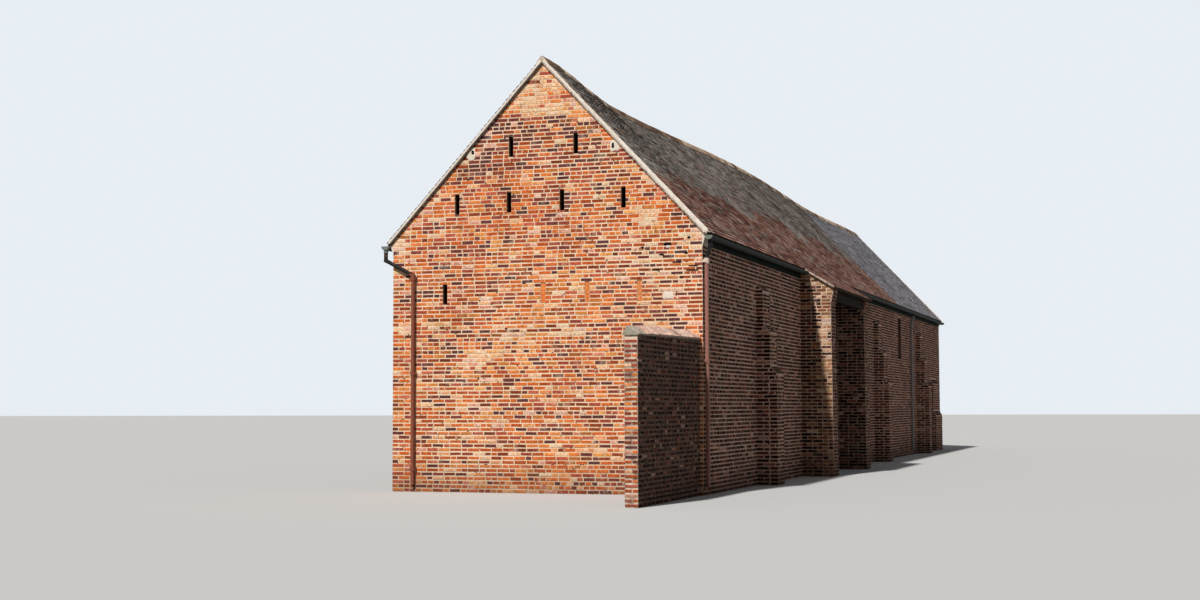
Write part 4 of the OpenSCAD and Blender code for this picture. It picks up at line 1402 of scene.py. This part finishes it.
# Mortar fillets along the verges: each point of a profile goes out past the end of the tiles
# and up from the slope; what stands above the slope grows towards the eaves
fillets = {
    "full": [
        (-0.05, 0), (-0.038, 0.013), (-0.016, 0.021), (0.003, 0.012), (0.005, -0.036), (-0.004, -0.041),
    ],
    "thin": [
        (-0.04, 0), (-0.03, 0.008), (-0.012, 0.01), (0.003, 0.002), (0.005, -0.03), (-0.004, -0.036),
    ],
    "bare": [(-0.02, -0.012), (0.002, -0.002), (0.006, -0.01), (0.006, -0.036), (-0.004, -0.041)],
    "growth": (1.8, 0.3),
    "station": 0.1,
    "ragged": 0.014,
    "lumpy": 0.005,
    "seed": 61,
}


def makeFillet(name, start, end, outward, profile, finish):
    start, end = Vector(start), Vector(end)
    normal = (end - start).normalized().cross(Vector((0, outward, 0)))
    if normal.z < 0:
        normal = -normal
    shape = bmesh.new()
    rings = []
    atFoot, atHead = fillets["growth"]
    stations = max(4, round((end - start).length / fillets["station"]))
    for index in range(stations + 1):
        place = start.lerp(end, index / stations)
        growth = atFoot + (atHead - atFoot) * index / stations
        ring = []
        for number, (out, up) in enumerate(fillets[profile]):
            wander = noise.noise(place * 5 + Vector((number * 2.3, fillets["seed"], 0)))
            swell = noise.noise(place * 7 + Vector((fillets["seed"], number * 1.7, 0)))
            if up > 0:
                up = up * growth + fillets["lumpy"] * swell
            out += (fillets["ragged"] if out < -0.03 else 0.002) * wander
            ring.append(shape.verts.new(place + Vector((0, outward * out, 0)) + normal * up))
        rings.append(ring)
    for first, second in zip(rings, rings[1:]):
        for index, corner in enumerate(first):
            after = (index + 1) % len(first)
            shape.faces.new((corner, first[after], second[after], second[index]))
    shape.faces.new(rings[0])
    shape.faces.new(rings[-1])
    pieceFromBmesh(name, shape, finish)


# Foot and head of a verge are the highest corners at its outer and inner edge
def pointVerges(part, side, profiles, finish):
    low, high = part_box(part)
    inner, outer = reachOf(part)
    for end, y, outward, profile in zip(("front", "rear"), (low.y, high.y), (-1, 1), profiles):
        tops = {}
        for corner in nodes[part].data.vertices:
            if abs(corner.co.y - y) < 0.001:
                key = round(abs(corner.co.x), 3)
                tops[key] = max(tops.get(key, 0), corner.co.z)
        foot = (side * outer, y, tops[round(outer, 3)])
        head = (side * max(inner, 0.04), y, tops[round(inner, 3)] - 0.04 * (inner < 0.01))
        makeFillet(f"{part}_{end}_fillet", foot, head, outward, profile, finish)


for name, side in sides:
    pointVerges(f"{name}_roof_slope", side, ["full" if side > 0 else "bare"] * 2, "vergeMortar")
    pointVerges(f"{name}_porch_roof", side, ["thin", "bare"], "porchMortar")
report("verges pointed")


# Finishes of the pieces that keep their CAD shape: the first word found in the name counts
keptFinishes = [
    ("gable_downpipe", "gablePipe"), ("road_downpipes", "roadPipe"), ("yard_downpipe", "yardPipe"),
    ("gable", "gableBed"), ("stub_wall", "stubBed"), ("stub_coping", "copingStone"), ("floor", "floorBrick"),
    ("verge", "vergeStrip"), ("kneelers", "limeRender"), ("frame", "oakUpright"), ("gutters", "gutterIron"),
    ("wall_plates", "oakAlong"), ("purlins", "oakAlong"), ("beam", "oakAlong"), ("lintel", "oakAlong"),
    ("rafters", "oakUpright"), ("collars", "oakAlong"), ("roof", "roofSheet"), ("wall", "sideBed"),
    ("cheeks", "cheekBed"), ("buttresses", "sideBed"), ("", "limeMortar"),
]
for name, node in nodes.items():
    finish = next(finish for word, finish in keptFinishes if word in name)
    node.data.materials.clear()
    node.data.materials.append(finishes[finish])


def makeFloor(settings):
    shape = bmesh.new()
    bmesh.ops.create_grid(shape, x_segments=1, y_segments=1, size=settings["floorSize"])
    mix = startFinish("studioFloor", 0.95)
    colour = mix.blend(seenRay(mix), settings["floorColour"], settings["floorSeen"])
    mix.plug(mix.shader.inputs["Base Color"], colour)
    floor = addToScene("studio_floor", meshFrom("studio_floor", shape))
    floor.data.materials.append(mix.made)


makeFloor(lightSettings)
makeCamera(cameraSettings)
makeLights(lightSettings)
report("camera and lights set")

for spare in (brickShape, tileShape, ridgeShape):
    bpy.data.objects.remove(spare)

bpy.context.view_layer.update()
report("done")
